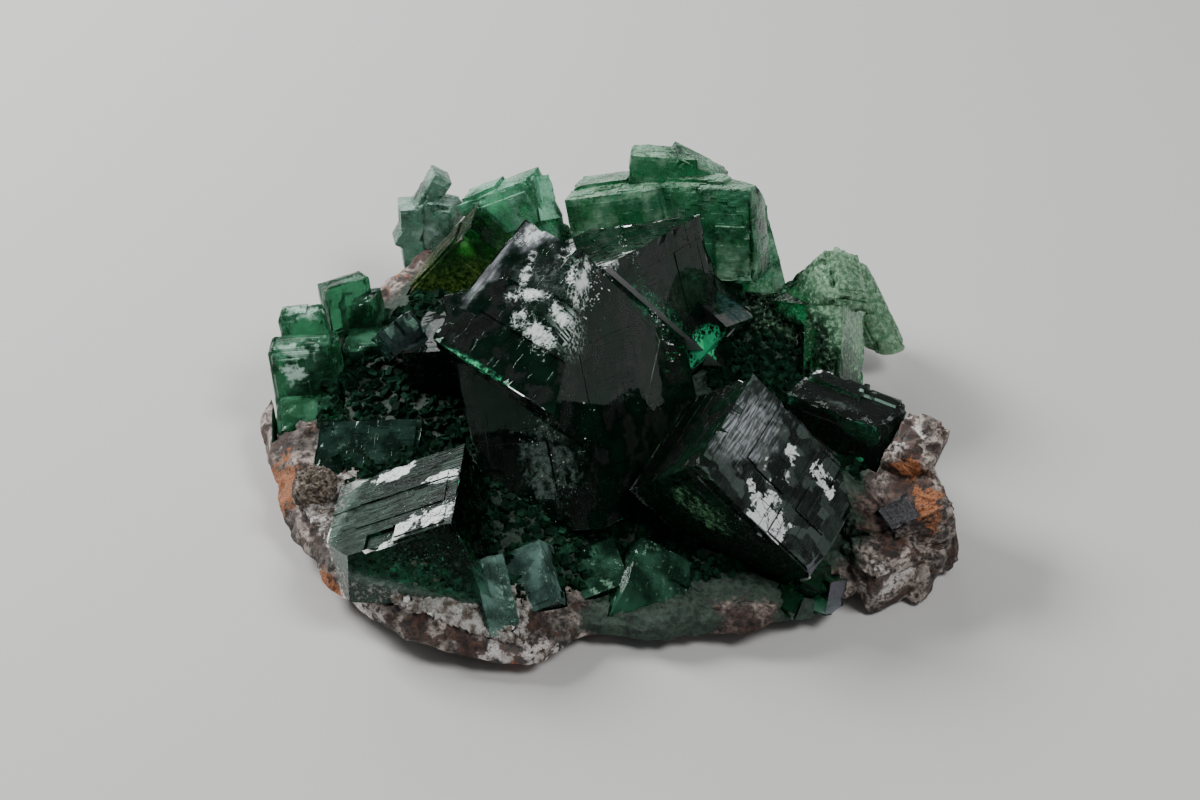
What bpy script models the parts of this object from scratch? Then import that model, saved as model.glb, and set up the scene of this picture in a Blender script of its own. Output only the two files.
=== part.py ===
"""Fluorite cluster: green cubes grown over a thin plate of pale rock.

Every crystal is a turned box with narrow bevelled edges, raised growth steps, pits and flat
cuts. Crystals that have grown through each other are joined into one solid. The rock plate is
a lump swept round its outline, with a socket cut for each crystal that stands in it.

Frame: +X right, +Y back, +Z up, the plate resting on z = 0. Lengths below are in millimetres
and turns in degrees; the meshes are made in metres.
"""

import math

import bmesh
import bpy
from mathutils import Euler, Matrix, Vector, noise

# Driving dimensions

MM = 0.001
GAP = 0.3  # clearance between neighbouring pieces
BED = 2.6  # level at which the leftmost crystal bases end inside the plate
BED_SLOPE = 0.02  # how much higher they end for each millimetre to the right
LOW_BED = 0.9  # the same for the front crystals that reach the rim
HIGH_BED = 4.4  # the same for the left cube, which sits up on the rock
EDGE = 0.18  # bevel on crystal edges
ROCK_EDGE = 0.7  # bevel on the broken rock blocks
SINK = 0.6  # how deep a growth step reaches into its crystal
STEP_LIFT = 0.07  # how much above its crystal's base a growth step ends
WELD = 2e-6  # in metres: points closer than this are made one after each Boolean

PLATE_MIDDLE = (0.0, 3.0)
PLATE_TOP = 7.5  # rock level under the middle of the cluster
PLATE_SIDES = 72
PLATE_ROUGHNESS = 0.55

# Outline of the plate: direction in degrees from +X, then how far out the rim is.
RIM_RADIUS = {
    -180: 35.0, -165: 33.7, -150: 33.7, -135: 34.4, -120: 34.0, -105: 31.9,
    -92: 27.4, -75: 28.6, -60: 31.0, -50: 31.5, -42: 32.5, -36: 35.0, -28: 35.0,
    -20: 32.5, -10: 30.0, 0: 27.5, 15: 26.5, 30: 28.5, 45: 27.5, 60: 26.5,
    75: 26.0, 90: 26.0, 105: 27.5, 120: 30.5, 132: 31.5, 150: 31.0, 165: 33.0,
}

# Height of the rim in the same directions.
RIM_TOP = {
    -180: 6.5, -165: 5.5, -150: 5.0, -135: 5.2, -120: 5.0, -105: 3.6,
    -92: 3.2, -75: 3.6, -60: 4.8, -50: 4.0, -42: 4.2, -36: 5.0, -28: 6.5,
    -20: 7.5, -10: 7.5, 0: 7.0, 15: 6.5, 30: 7.0, 45: 8.0, 60: 8.5,
    75: 9.0, 90: 9.0, 105: 8.5, 120: 8.5, 132: 9.5, 150: 8.5, 165: 7.5,
}

# Rings of the plate from the underside to the top: share of the rim radius, share of the rim
# height, share of the middle height, and how much of the roughness the ring takes.
PLATE_RINGS = (
    (0.45, 0.0, 0.0, 0.0),
    (0.78, 0.0, 0.0, 0.0),
    (0.89, 0.0, 0.0, 0.0),
    (0.96, 0.22, 0.0, 0.8),
    (1.00, 0.5, 0.0, 1.0),
    (0.99, 0.78, 0.0, 1.0),
    (0.95, 1.0, 0.0, 1.0),
    (0.86, 1.0, 0.03, 1.0),
    (0.74, 0.85, 0.22, 1.0),
    (0.55, 0.5, 0.6, 0.8),
    (0.30, 0.0, 1.0, 0.6),
)

# Planes that several crystals share: a point, and the direction that is cut away.
SMOKY_FACE = ((-0.2, -16.7, 8.0), (0.81, -0.39, 0.43))
SILVER_FACE = ((-5.5, -4.2, 23.4), (-0.31, -0.35, 0.89))
TWIN_SEAM = ((4.8, 3.7, 19.0), (-0.19, -0.88, -0.43))

PART_NAME = "fluorite_cluster"


def cube(centre, size, turn, cuts=(), steps=(), pits=(), bed=BED, edge=EDGE):
    """One crystal as named dimensions.

    cuts: planes (point, outward normal) in the cluster's frame.
    steps: raised growth layers (axis, side, u from, u to, v from, v to, height), where u and
    v are shares of the face from -1 to 1 along the other two axes in order.
    pits: the same, sunk by their last number instead of raised.
    """
    return {
        "centre": Vector(centre),
        "size": Vector(size),
        "turn": turn,
        "cuts": tuple(cuts),
        "steps": tuple(steps),
        "pits": tuple(pits),
        "bed": bed + BED_SLOPE * (centre[0] + RIM_RADIUS[-180]),
        "edge": edge,
    }


# The crystals, group by group. Each group becomes one solid.

CENTRE_TWIN = [
    # upper left half, whose silvery face looks up at the viewer
    cube((-3.5, -1.9, 17.6), (19, 15, 13), (28, 1, -43),
         cuts=[SMOKY_FACE],
         steps=[(2, 1, -0.72, 1.0, -0.35, 1.0, 0.35), (2, 1, -0.2, 0.62, 0.3, 1.0, 0.75)],
         pits=[(2, 1, -0.66, -0.5, 0.05, 0.2, 0.5)]),
    # large front half, with a smoky face to the right and a mottled face to the left
    cube((-2.6, -0.3, 11.8), (13.5, 20, 24), (-22, -26, -26),
         cuts=[SILVER_FACE],
         steps=[(1, -1, -0.75, 0.35, -0.9, -0.25, 0.25), (0, 1, -0.82, 0.1, -0.55, 0.45, 0.2)]),
    # upper right half, standing a little proud along the seam
    cube((0.1, 5.7, 13.3), (14, 23, 18), (-16, -25, -26),
         cuts=[SILVER_FACE, TWIN_SEAM],
         steps=[(0, 1, 0.45, 0.9, -0.2, 0.75, 0.25)]),
    # dark block low on the left, and the small stepped cube on its shoulder
    cube((-13.5, 7, 7.5), (10.5, 9, 11), (-8, -13, -11),
         steps=[(1, -1, -0.55, 0.6, -0.7, 0.5, 0.2)]),
    cube((-21, 8.5, 11.5), (4.5, 4, 3), (-48, -16, 39),
         steps=[(1, -1, 0.05, 1.0, -0.3, 1.0, 0.45)]),
    # pointed corner showing behind the right edge
    cube((9.5, 11.5, 10), (6.5, 9, 8), (-29, 23, -40)),
]

RIGHT_CUBE = [
    cube((13.5, -13, 10), (16, 12, 11), (16, 43, -18),
         cuts=[((19.0, -18.6, 14.2), (0.72, -0.62, 0.3)), ((22.6, -13.2, 11.0), (0.95, 0.1, 0.2))],
         steps=[(2, 1, -1.0, -0.35, -1.0, 1.0, 0.3), (2, 1, -0.5, 0.12, -0.25, 0.9, 0.25),
                (2, 1, 0.2, 0.9, -0.95, -0.45, 0.3), (2, 1, 0.36, 0.82, -0.3, 0.2, 0.22),
                (1, -1, -0.85, 0.4, -0.1, 0.8, 0.2)],
         pits=[(2, 1, 0.3, 0.62, 0.45, 1.1, 0.6), (2, 1, 0.7, 1.1, 0.2, 1.1, 0.9)]),
    # small crystals crowded at its lower corner
    cube((18.6, -19.4, 3.6), (3.6, 3.2, 4.6), (20, 30, 10), bed=LOW_BED),
    cube((20.8, -20.2, 3.0), (2.6, 2.6, 3.4), (-15, 25, 40), bed=LOW_BED),
    cube((17.0, -21.4, 2.8), (2.4, 2.4, 3.0), (10, -20, 65), bed=LOW_BED),
]

LEFT_CUBE = [
    cube((-18, -16.5, 6), (13.5, 13.5, 10), (-10, -23, 1), bed=HIGH_BED,
         cuts=[((-23.3, -23.1, 11.2), (-0.86, -0.51, 0.09))],
         steps=[(2, 1, -1.0, 1.0, 0.2, 1.0, 0.3), (2, 1, -0.55, 0.8, -0.35, 0.35, 0.25),
                (2, 1, 0.05, 0.85, -0.9, -0.5, 0.3), (1, -1, -0.3, 0.6, 0.3, 0.9, 0.2)],
         pits=[(2, 1, -0.35, 0.1, -1.1, -0.6, 0.55), (1, -1, 0.2, 0.5, -0.2, 0.1, 0.4)]),
]

FRONT_LEFT_PRISM = [
    cube((-10.7, -22.2, 4.6), (3.1, 7.4, 4), (42, 2, 21), bed=LOW_BED),
]

FRONT_PRISM = [
    cube((-6.7, -19.7, 3.9), (4.7, 6.5, 4), (31, -29, 2), bed=LOW_BED,
         steps=[(2, 1, -0.4, 0.7, -0.8, 0.1, 0.2)]),
]

FRONT_WEDGE = [
    cube((5, -19.5, 0.5), (10.5, 8.5, 8), (27, 30, -3), bed=LOW_BED,
         cuts=[((7.7, -22.6, 2.7), (0.08, -0.88, 0.46))],
         steps=[(2, 1, -0.2, 0.9, 0.35, 0.95, 0.25)]),
    cube((-0.6, -17.6, 2.4), (5.5, 5, 5), (20, -18, 12), bed=LOW_BED),
]

LEFT_EDGE_CUBES = [
    cube((-31, 12, 8.5), (5.5, 3.5, 7), (-11, -10, 1), edge=0.45,
         steps=[(2, 1, -0.8, 0.3, -0.7, 0.8, 0.25)]),
    cube((-30.5, 7.5, 5.5), (8, 4.5, 12), (-8, -4, 1), edge=0.6,
         cuts=[((-26.2, 6.5, 10.6), (0.62, -0.2, 0.75))],
         steps=[(1, -1, -0.7, 0.1, -0.1, 0.8, 0.25)]),
    cube((-25.5, 15, 7.5), (5.5, 4, 8), (-10, -13, -11), edge=0.3),
    cube((-27, 15.5, 9.5), (5.5, 3, 7), (-15, 1, 30)),
    cube((-24, 11, 4.8), (5.5, 5, 9), (-8, -8, -2)),
    cube((-30, 3.4, 4.0), (7.4, 5.6, 6.4), (24, -5, 4), edge=0.8),
]

# a low, hazy crystal lying behind the left cube
LOW_LEFT_CRYSTAL = [
    cube((-23.4, -3.2, 4.9), (10.5, 7, 4.2), (14, -6, -6), edge=0.4,
         steps=[(2, 1, -0.3, 0.9, -0.6, 0.7, 0.25)]),
]

UPPER_LEFT_CRYSTAL = [
    cube((-17.5, 22, 8), (5, 7, 17.5), (-13, 38, -14), edge=0.25,
         steps=[(1, -1, -0.6, 0.7, -0.2, 0.6, 0.25), (0, -1, -0.7, 0.5, -0.3, 0.7, 0.3)]),
]

MINT_CUBES = [
    cube((-9, 25.5, 12), (9.5, 4, 12), (-10, -30, -13), edge=0.5,
         steps=[(1, -1, -0.5, 0.8, 0.2, 0.8, 0.3), (2, 1, -0.8, 0.1, -0.7, 0.7, 0.4)]),
    cube((-7.5, 27.5, 14), (2.2, 5, 9), (43, 2, 20), edge=0.3),
]

PALE_CUBES = [
    cube((-20, 30, 12), (2.6, 3.6, 9.6), (-13, 32, 4), edge=0.4),
    cube((-21, 29.7, 9), (3.2, 4.5, 7.5), (-13, 0, 8), edge=0.45,
         pits=[(1, -1, 0.2, 0.8, -0.1, 0.4, 0.6)]),
    cube((-17.6, 28.6, 9.3), (3.6, 4, 9), (-13, -5, -25), edge=0.45),
]

BACK_ROW = [
    cube((2.5, 24.5, 12.5), (11, 9, 12), (-19, -14, -8), edge=0.35,
         steps=[(2, 1, -0.9, 0.2, -0.2, 0.9, 0.35), (1, -1, -0.3, 0.5, 0.0, 0.8, 0.25)]),
    cube((11.5, 22.2, 15), (11, 6, 11), (-18, -10, -20), edge=0.45,
         cuts=[((12, 24.2, 21.3), (0.5, 0.62, 0.47))],
         steps=[(1, -1, -0.2, 0.7, -0.2, 0.6, 0.3), (2, 1, -0.9, 0.3, -0.5, 0.6, 0.35)]),
    cube((6, 25.8, 15.2), (7.5, 4.5, 13), (-14, 1, -6), edge=0.5,
         cuts=[((12, 24.2, 21.3), (0.5, 0.62, 0.47))]),
    cube((8.2, 26.3, 16.3), (7, 5, 9), (-10, 31, 0), edge=0.6),
    cube((14.5, 24.2, 9), (7, 8, 9), (-43, -3, 18), edge=0.7,
         steps=[(2, 1, 0.3, 0.95, 0.1, 0.9, 0.5)],
         pits=[(2, 1, -0.1, 0.5, -0.5, 0.1, 0.5)]),
]

RIGHT_PALE_CRYSTAL = [
    cube((22.5, 15.5, 11), (6, 7.5, 11), (28, 22, 21), edge=0.6,
         steps=[(2, 1, -0.6, 0.9, -0.5, 0.8, 0.4)]),
    cube((27.3, 19.6, 6.6), (4.6, 9, 13.5), (-20, -20, 26), edge=0.7,
         cuts=[((30.6, 11.6, 3.6), (0.35, -0.75, -0.56))]),
    cube((23.5, 9, 7), (4.2, 12, 6.2), (48, -18, -23), edge=0.3,
         steps=[(2, 1, -0.5, 0.7, -0.6, 0.3, 0.3)]),
    cube((21.6, 14.8, 6.5), (4.5, 6, 10), (-8, -16, -33)),
    cube((17.6, 15.2, 5.2), (6.5, 8, 7.5), (28, -4, -12), edge=0.3,
         steps=[(2, 1, -0.7, 0.4, -0.8, 0.5, 0.25)]),
]

RIGHT_DARK_CRYSTAL = [
    cube((23.5, -3, 8), (11, 5.6, 8.8), (-6, -3, -35), edge=0.3,
         steps=[(2, 1, -0.85, 0.2, 0.25, 1.0, 0.45), (2, 1, 0.1, 0.85, 0.5, 1.0, 0.3),
                (1, -1, -0.6, 0.5, -0.3, 0.7, 0.2)]),
]

ORE_CRYSTAL = [
    cube((27.8, -14.2, 6.6), (3.3, 3.0, 4.6), (18, -12, 28), edge=0.3,
         steps=[(2, 1, -0.9, 0.0, -0.8, 0.8, 0.3)]),
]

# Broken blocks of the same rock as the plate, at its right end: centre, size, turn, and the
# level their undersides are cut at.
ROCK_BLOCKS = (
    ((28.9, -7.7, 6.0), (4.6, 7.0, 12.0), (-10, 12, -25), 0.9),
    ((29.6, -11.8, 4.8), (6.4, 8.2, 9.0), (4, -12, 18), 0.7),
    ((26.6, -16.9, 3.3), (6.0, 5.0, 6.0), (6, -6, 24), 0.5),
    ((29.4, -15.4, 2.9), (5.4, 4.6, 5.2), (-8, 10, -30), 0.3),
    ((26.0, -10.6, 4.0), (8.0, 10.0, 7.0), (0, 5, 12), 1.1),
)

# A dark hollow in the front of the plate, under the large front cube.
ROCK_HOLLOW = ((-1.5, -16.8, 7.2), (15.0, 8.0, 8.0), (6, 0, 8), 3.1)

# The pitted nodule at the left edge.
NODULE_CENTRE = (-28.4, -8.4, 5.6)
NODULE_RADII = (2.3, 2.2, 2.9)
NODULE_ROUGHNESS = 0.45

GROUPS = (
    ("centre_twin", CENTRE_TWIN),
    ("right_cube", RIGHT_CUBE),
    ("front_left_prism", FRONT_LEFT_PRISM),
    ("front_prism", FRONT_PRISM),
    ("left_cube", LEFT_CUBE),
    ("low_left_crystal", LOW_LEFT_CRYSTAL),
    ("right_dark_crystal", RIGHT_DARK_CRYSTAL),
    ("right_pale_crystal", RIGHT_PALE_CRYSTAL),
    ("back_row", BACK_ROW),
    ("upper_left_crystal", UPPER_LEFT_CRYSTAL),
    ("mint_cubes", MINT_CUBES),
    ("pale_cubes", PALE_CUBES),
    ("left_edge_cubes", LEFT_EDGE_CUBES),
    ("front_wedge", FRONT_WEDGE),
    ("ore_crystal", ORE_CRYSTAL),
)

# Colour, roughness and metallic share of each piece.
FINISHES = {
    "centre_twin": ((0.015, 0.09, 0.045, 1), 0.06, 0.0),
    "right_cube": ((0.03, 0.12, 0.07, 1), 0.12, 0.0),
    "left_cube": ((0.05, 0.14, 0.09, 1), 0.16, 0.0),
    "right_dark_crystal": ((0.012, 0.08, 0.04, 1), 0.1, 0.0),
    "right_pale_crystal": ((0.3, 0.5, 0.38, 1), 0.35, 0.0),
    "back_row": ((0.1, 0.3, 0.18, 1), 0.3, 0.0),
    "upper_left_crystal": ((0.08, 0.26, 0.1, 1), 0.2, 0.0),
    "mint_cubes": ((0.25, 0.55, 0.38, 1), 0.35, 0.0),
    "pale_cubes": ((0.35, 0.5, 0.42, 1), 0.4, 0.0),
    "left_edge_cubes": ((0.12, 0.32, 0.2, 1), 0.25, 0.0),
    "front_wedge": ((0.04, 0.16, 0.1, 1), 0.15, 0.0),
    "front_left_prism": ((0.16, 0.34, 0.26, 1), 0.2, 0.0),
    "front_prism": ((0.14, 0.3, 0.22, 1), 0.2, 0.0),
    "low_left_crystal": ((0.1, 0.16, 0.15, 1), 0.3, 0.0),
    "ore_crystal": ((0.02, 0.02, 0.022, 1), 0.2, 0.1),
    "pitted_nodule": ((0.09, 0.075, 0.06, 1), 0.8, 0.0),
    "matrix_rock": ((0.5, 0.42, 0.36, 1), 0.85, 0.0),
}


# Helpers

def clear_scene():
    for obj in list(bpy.data.objects):
        bpy.data.objects.remove(obj, do_unlink=True)


def new_collection(name, hidden=False):
    collection = bpy.data.collections.new(name)
    collection.hide_render = hidden
    bpy.context.scene.collection.children.link(collection)
    return collection


def make_object(name, bm, collection):
    """Link a finished mesh, with its faces turned outwards."""
    bmesh.ops.recalc_face_normals(bm, faces=bm.faces[:])
    bmesh.ops.scale(bm, vec=(MM, MM, MM), verts=bm.verts[:])
    mesh = bpy.data.meshes.new(name)
    bm.to_mesh(mesh)
    bm.free()
    obj = bpy.data.objects.new(name, mesh)
    collection.objects.link(obj)
    return obj


def placing(crystal):
    turn = Euler([math.radians(angle) for angle in crystal["turn"]], "XYZ")
    return Matrix.Translation(crystal["centre"]) @ turn.to_matrix().to_4x4()


def cut_flat(bm, point, normal):
    """Cut away the side the normal points to, and close the opening with one flat face."""
    geometry = bm.verts[:] + bm.edges[:] + bm.faces[:]
    result = bmesh.ops.bisect_plane(
        bm, geom=geometry, dist=1e-6, plane_co=point, plane_no=normal, clear_outer=True
    )
    rim = [item for item in result["geom_cut"] if isinstance(item, bmesh.types.BMEdge)]
    if rim:
        bmesh.ops.edgeloop_fill(bm, edges=rim)


def box_between(low, high, matrix, cuts, bed, edge):
    """A box from low to high in a crystal's own frame, placed, cut and bevelled."""
    low = Vector(low)
    high = Vector(high)
    bm = bmesh.new()
    bmesh.ops.create_cube(bm, size=1.0)
    middle = Matrix.Translation((low + high) / 2)
    stretch = Matrix.Diagonal((*(high - low), 1.0))
    bmesh.ops.transform(bm, matrix=matrix @ middle @ stretch, verts=bm.verts[:])
    for point, normal in cuts:
        cut_flat(bm, Vector(point), Vector(normal).normalized())
    cut_flat(bm, Vector((0, 0, bed)), Vector((0, 0, -1)))
    if edge and bm.faces:
        bmesh.ops.bevel(
            bm, geom=bm.edges[:], offset=edge, segments=1, affect="EDGES", clamp_overlap=True
        )
    return bm


def layer_bounds(crystal, layer, outward, margin):
    """The box of one growth step (outward above 0) or pit, in the crystal's own frame."""
    axis, side, u_from, u_to, v_from, v_to, height = layer
    half = crystal["size"] / 2
    first, second = [k for k in range(3) if k != axis]
    low = Vector((0, 0, 0))
    high = Vector((0, 0, 0))
    low[first] = u_from * half[first] - margin
    high[first] = u_to * half[first] + margin
    low[second] = v_from * half[second] - margin
    high[second] = v_to * half[second] + margin
    if outward > 0:
        inner = half[axis] - SINK
        outer = half[axis] + height + margin
    else:
        inner = half[axis] - height
        outer = half[axis] + SINK
    low[axis] = min(side * inner, side * outer)
    high[axis] = max(side * inner, side * outer)
    return low, high


def crystal_meshes(crystal, margin=0.0):
    """The box of a crystal and its growth steps, all grown by a margin when they cut others."""
    matrix = placing(crystal)
    grow = Vector((margin, margin, margin))
    edge = 0.0 if margin else crystal["edge"]
    bed = crystal["bed"] - margin
    cuts = []
    for point, normal in crystal["cuts"]:
        outward = Vector(normal).normalized()
        cuts.append((Vector(point) + outward * margin, outward))
    half = crystal["size"] / 2
    meshes = [box_between(-half - grow, half + grow, matrix, cuts, bed, edge)]
    for step in crystal["steps"]:
        low, high = layer_bounds(crystal, step, 1, margin)
        raised = [(point + normal * step[-1], normal) for point, normal in cuts]
        meshes.append(box_between(low, high, matrix, raised, bed + STEP_LIFT, edge / 2))
    return [bm for bm in meshes if bm.faces]


def pit_meshes(crystal):
    matrix = placing(crystal)
    meshes = []
    for pit in crystal["pits"]:
        low, high = layer_bounds(crystal, pit, -1, 0.0)
        meshes.append(box_between(low, high, matrix, (), -BED, 0.0))
    return meshes


def combine(target, other, operation):
    """Apply one exact Boolean to the target, tidy its points, and drop the other object."""
    modifier = target.modifiers.new("join or cut", "BOOLEAN")
    modifier.operation = operation
    modifier.solver = "EXACT"
    modifier.object = other
    graph = bpy.context.evaluated_depsgraph_get()
    mesh = bpy.data.meshes.new_from_object(target.evaluated_get(graph))
    target.modifiers.clear()
    spent = target.data
    target.data = mesh
    mesh.name = target.name
    bpy.data.meshes.remove(spent)
    bpy.data.objects.remove(other, do_unlink=True)
    bm = bmesh.new()
    bm.from_mesh(mesh)
    bmesh.ops.remove_doubles(bm, verts=bm.verts[:], dist=WELD)
    bmesh.ops.dissolve_degenerate(bm, edges=bm.edges[:], dist=WELD)
    bm.to_mesh(mesh)
    bm.free()


def bounds(obj):
    points = [vertex.co for vertex in obj.data.vertices]
    low = Vector([min(point[k] for point in points) for k in range(3)])
    high = Vector([max(point[k] for point in points) for k in range(3)])
    return low, high


def apart(first, second):
    low_a, high_a = bounds(first)
    low_b, high_b = bounds(second)
    return any(high_a[k] < low_b[k] or high_b[k] < low_a[k] for k in range(3))


def keep_largest(obj):
    """Drop the small crumbs that cutting can leave, and keep the one real body."""
    bm = bmesh.new()
    bm.from_mesh(obj.data)
    left = set(bm.verts)
    bodies = []
    while left:
        queue = [left.pop()]
        body = set(queue)
        while queue:
            for edge in queue.pop().link_edges:
                for vertex in edge.verts:
                    if vertex in left:
                        left.discard(vertex)
                        body.add(vertex)
                        queue.append(vertex)
        bodies.append(body)
    bodies.sort(key=body_span, reverse=True)
    for crumbs in bodies[1:]:
        bmesh.ops.delete(bm, geom=list(crumbs), context="VERTS")
    bm.to_mesh(obj.data)
    bm.free()


def body_span(body):
    spans = [max(v.co[k] for v in body) - min(v.co[k] for v in body) for k in range(3)]
    return spans[0] * spans[1] * spans[2]


def build_group(name, crystals, collection):
    """Join the crystals of one group into a single solid, then sink their pits."""
    meshes = [bm for crystal in crystals for bm in crystal_meshes(crystal)]
    solid = make_object(name, meshes[0], collection)
    for bm in meshes[1:]:
        combine(solid, make_object("growth", bm, collection), "UNION")
    for crystal in crystals:
        for bm in pit_meshes(crystal):
            combine(solid, make_object("pit", bm, collection), "DIFFERENCE")
    return solid


def make_room(solid, crystals, cutters):
    """Cut a socket, one gap wider than the crystal, wherever the crystal meets this solid."""
    for crystal in crystals:
        for bm in crystal_meshes(crystal, GAP):
            cutter = make_object("socket", bm, cutters)
            cutter.display_type = "WIRE"
            if apart(solid, cutter):
                bpy.data.objects.remove(cutter, do_unlink=True)
            else:
                combine(solid, cutter, "DIFFERENCE")


def around(values, degrees):
    """The value at a direction, eased between the named directions on either side of it."""
    angles = sorted(values)
    spot = (degrees + 180.0) % 360.0 - 180.0
    before = max(angle for angle in angles if angle <= spot)
    later = [angle for angle in angles if angle > spot]
    after = later[0] if later else angles[0]
    share = (spot - before) / ((after - before) % 360)
    eased = (1 - math.cos(math.pi * share)) / 2
    return values[before] * (1 - eased) + values[after] * eased


def ragged(point, grain):
    """A seeded wander for broken rock: coarse lumps with finer ones on top."""
    coarse = noise.noise_vector(point * (0.32 / grain))
    fine = noise.noise_vector(point * (0.95 / grain) + Vector((17.0, 5.0, 9.0)))
    return coarse + fine * 0.6


def build_plate(name, collection):
    """A lump swept round the outline: flat below, a low broken rim, and a raised middle."""
    bm = bmesh.new()
    middle = Vector((*PLATE_MIDDLE, 0.0))
    bottom = bm.verts.new(middle)
    rings = []
    for share, rim_part, top_part, roughness in PLATE_RINGS:
        ring = []
        for k in range(PLATE_SIDES):
            degrees = 360.0 * k / PLATE_SIDES
            way = Vector((math.cos(math.radians(degrees)), math.sin(math.radians(degrees)), 0))
            height = around(RIM_TOP, degrees) * rim_part + PLATE_TOP * top_part
            point = middle + way * (around(RIM_RADIUS, degrees) * share)
            point.z = height
            point += ragged(point, 1.0) * PLATE_ROUGHNESS * roughness
            point.z = max(point.z, 0.0)
            ring.append(bm.verts.new(point))
        rings.append(ring)
    crown = bm.verts.new(middle + Vector((0, 0, PLATE_TOP)))
    for k in range(PLATE_SIDES):
        after = (k + 1) % PLATE_SIDES
        bm.faces.new((bottom, rings[0][after], rings[0][k]))
        bm.faces.new((rings[-1][k], rings[-1][after], crown))
        for lower, upper in zip(rings, rings[1:]):
            bm.faces.new((lower[k], lower[after], upper[after], upper[k]))
    bmesh.ops.triangulate(bm, faces=bm.faces[:])
    return make_object(name, bm, collection)


def build_block(centre, size, turn, foot, collection):
    """A broken block: a box whose sides wander a little, with blunt edges."""
    place = placing({"centre": Vector(centre), "turn": turn})
    bm = bmesh.new()
    bmesh.ops.create_cube(bm, size=1.0)
    bmesh.ops.transform(bm, matrix=place @ Matrix.Diagonal((*size, 1.0)), verts=bm.verts[:])
    bmesh.ops.bevel(
        bm, geom=bm.edges[:], offset=ROCK_EDGE, segments=2, affect="EDGES", clamp_overlap=True
    )
    bmesh.ops.subdivide_edges(bm, edges=bm.edges[:], cuts=1, use_grid_fill=True)
    for vertex in bm.verts:
        vertex.co += ragged(vertex.co, 0.8) * PLATE_ROUGHNESS * 0.7
    bmesh.ops.triangulate(bm, faces=bm.faces[:])
    cut_flat(bm, Vector((0, 0, foot)), Vector((0, 0, -1)))
    bmesh.ops.triangulate(bm, faces=bm.faces[:])
    return make_object("block", bm, collection)


def build_nodule(name, collection):
    """A rounded knob with a knobbly, pitted skin."""
    bm = bmesh.new()
    bmesh.ops.create_icosphere(bm, subdivisions=3, radius=1.0)
    for vertex in bm.verts:
        way = vertex.co.normalized()
        lumps = noise.noise(way * 2.1) + 0.6 * noise.noise(way * 5.3)
        dents = max(0.0, noise.noise(way * 3.7 + Vector((4.0, 1.0, 2.0))) - 0.2)
        reach = 1.0 + NODULE_ROUGHNESS * (0.5 * lumps - 1.1 * dents)
        vertex.co = Vector([way[k] * NODULE_RADII[k] * reach for k in range(3)])
    bmesh.ops.translate(bm, vec=NODULE_CENTRE, verts=bm.verts[:])
    return make_object(name, bm, collection)


def give_finish(obj):
    colour, roughness, metallic = FINISHES[obj.name]
    material = bpy.data.materials.new(obj.name)
    material.use_nodes = True
    shader = material.node_tree.nodes["Principled BSDF"]
    shader.inputs["Base Color"].default_value = colour
    shader.inputs["Roughness"].default_value = roughness
    shader.inputs["Metallic"].default_value = metallic
    material.diffuse_color = colour
    obj.data.materials.clear()
    obj.data.materials.append(material)


# Building the cluster

clear_scene()
part = new_collection(PART_NAME)
cutters = new_collection("cutters", hidden=True)

# Crystals: each group makes room for the groups that stand before it in the list.
solids = []
for index, (group_name, members) in enumerate(GROUPS):
    group = build_group(group_name, members, part)
    for other_name, others in GROUPS[:index]:
        make_room(group, others, cutters)
    keep_largest(group)
    solids.append(group)

# The nodule makes room for every crystal beside it.
nodule = build_nodule("pitted_nodule", part)
for group_name, members in GROUPS:
    make_room(nodule, members, cutters)
keep_largest(nodule)
solids.append(nodule)

# The rock plate takes in its broken blocks, then opens a socket for everything it carries.
rock = build_plate("matrix_rock", part)
for block in ROCK_BLOCKS:
    combine(rock, build_block(*block, part), "UNION")
combine(rock, build_block(*ROCK_HOLLOW, cutters), "DIFFERENCE")
for group_name, members in GROUPS:
    make_room(rock, members, cutters)
nodule_socket = nodule.copy()
nodule_socket.data = nodule.data.copy()
for vertex in nodule_socket.data.vertices:
    outward = (vertex.co - Vector(NODULE_CENTRE) * MM).normalized()
    vertex.co += outward * (1.6 * GAP * MM)
cutters.objects.link(nodule_socket)
combine(rock, nodule_socket, "DIFFERENCE")
keep_largest(rock)
solids.append(rock)

for solid in solids:
    give_finish(solid)
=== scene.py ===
"""The looks of a fluorite cluster: see-through dark green cubes with growth steps, frost and
inner cracks, paler and milkier cubes round them, and the thin plate of pale, rust-stained rock
that they stand on. Sizes are in millimetres until a mesh is made. +X right, +Y back, +Z up."""

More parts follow.
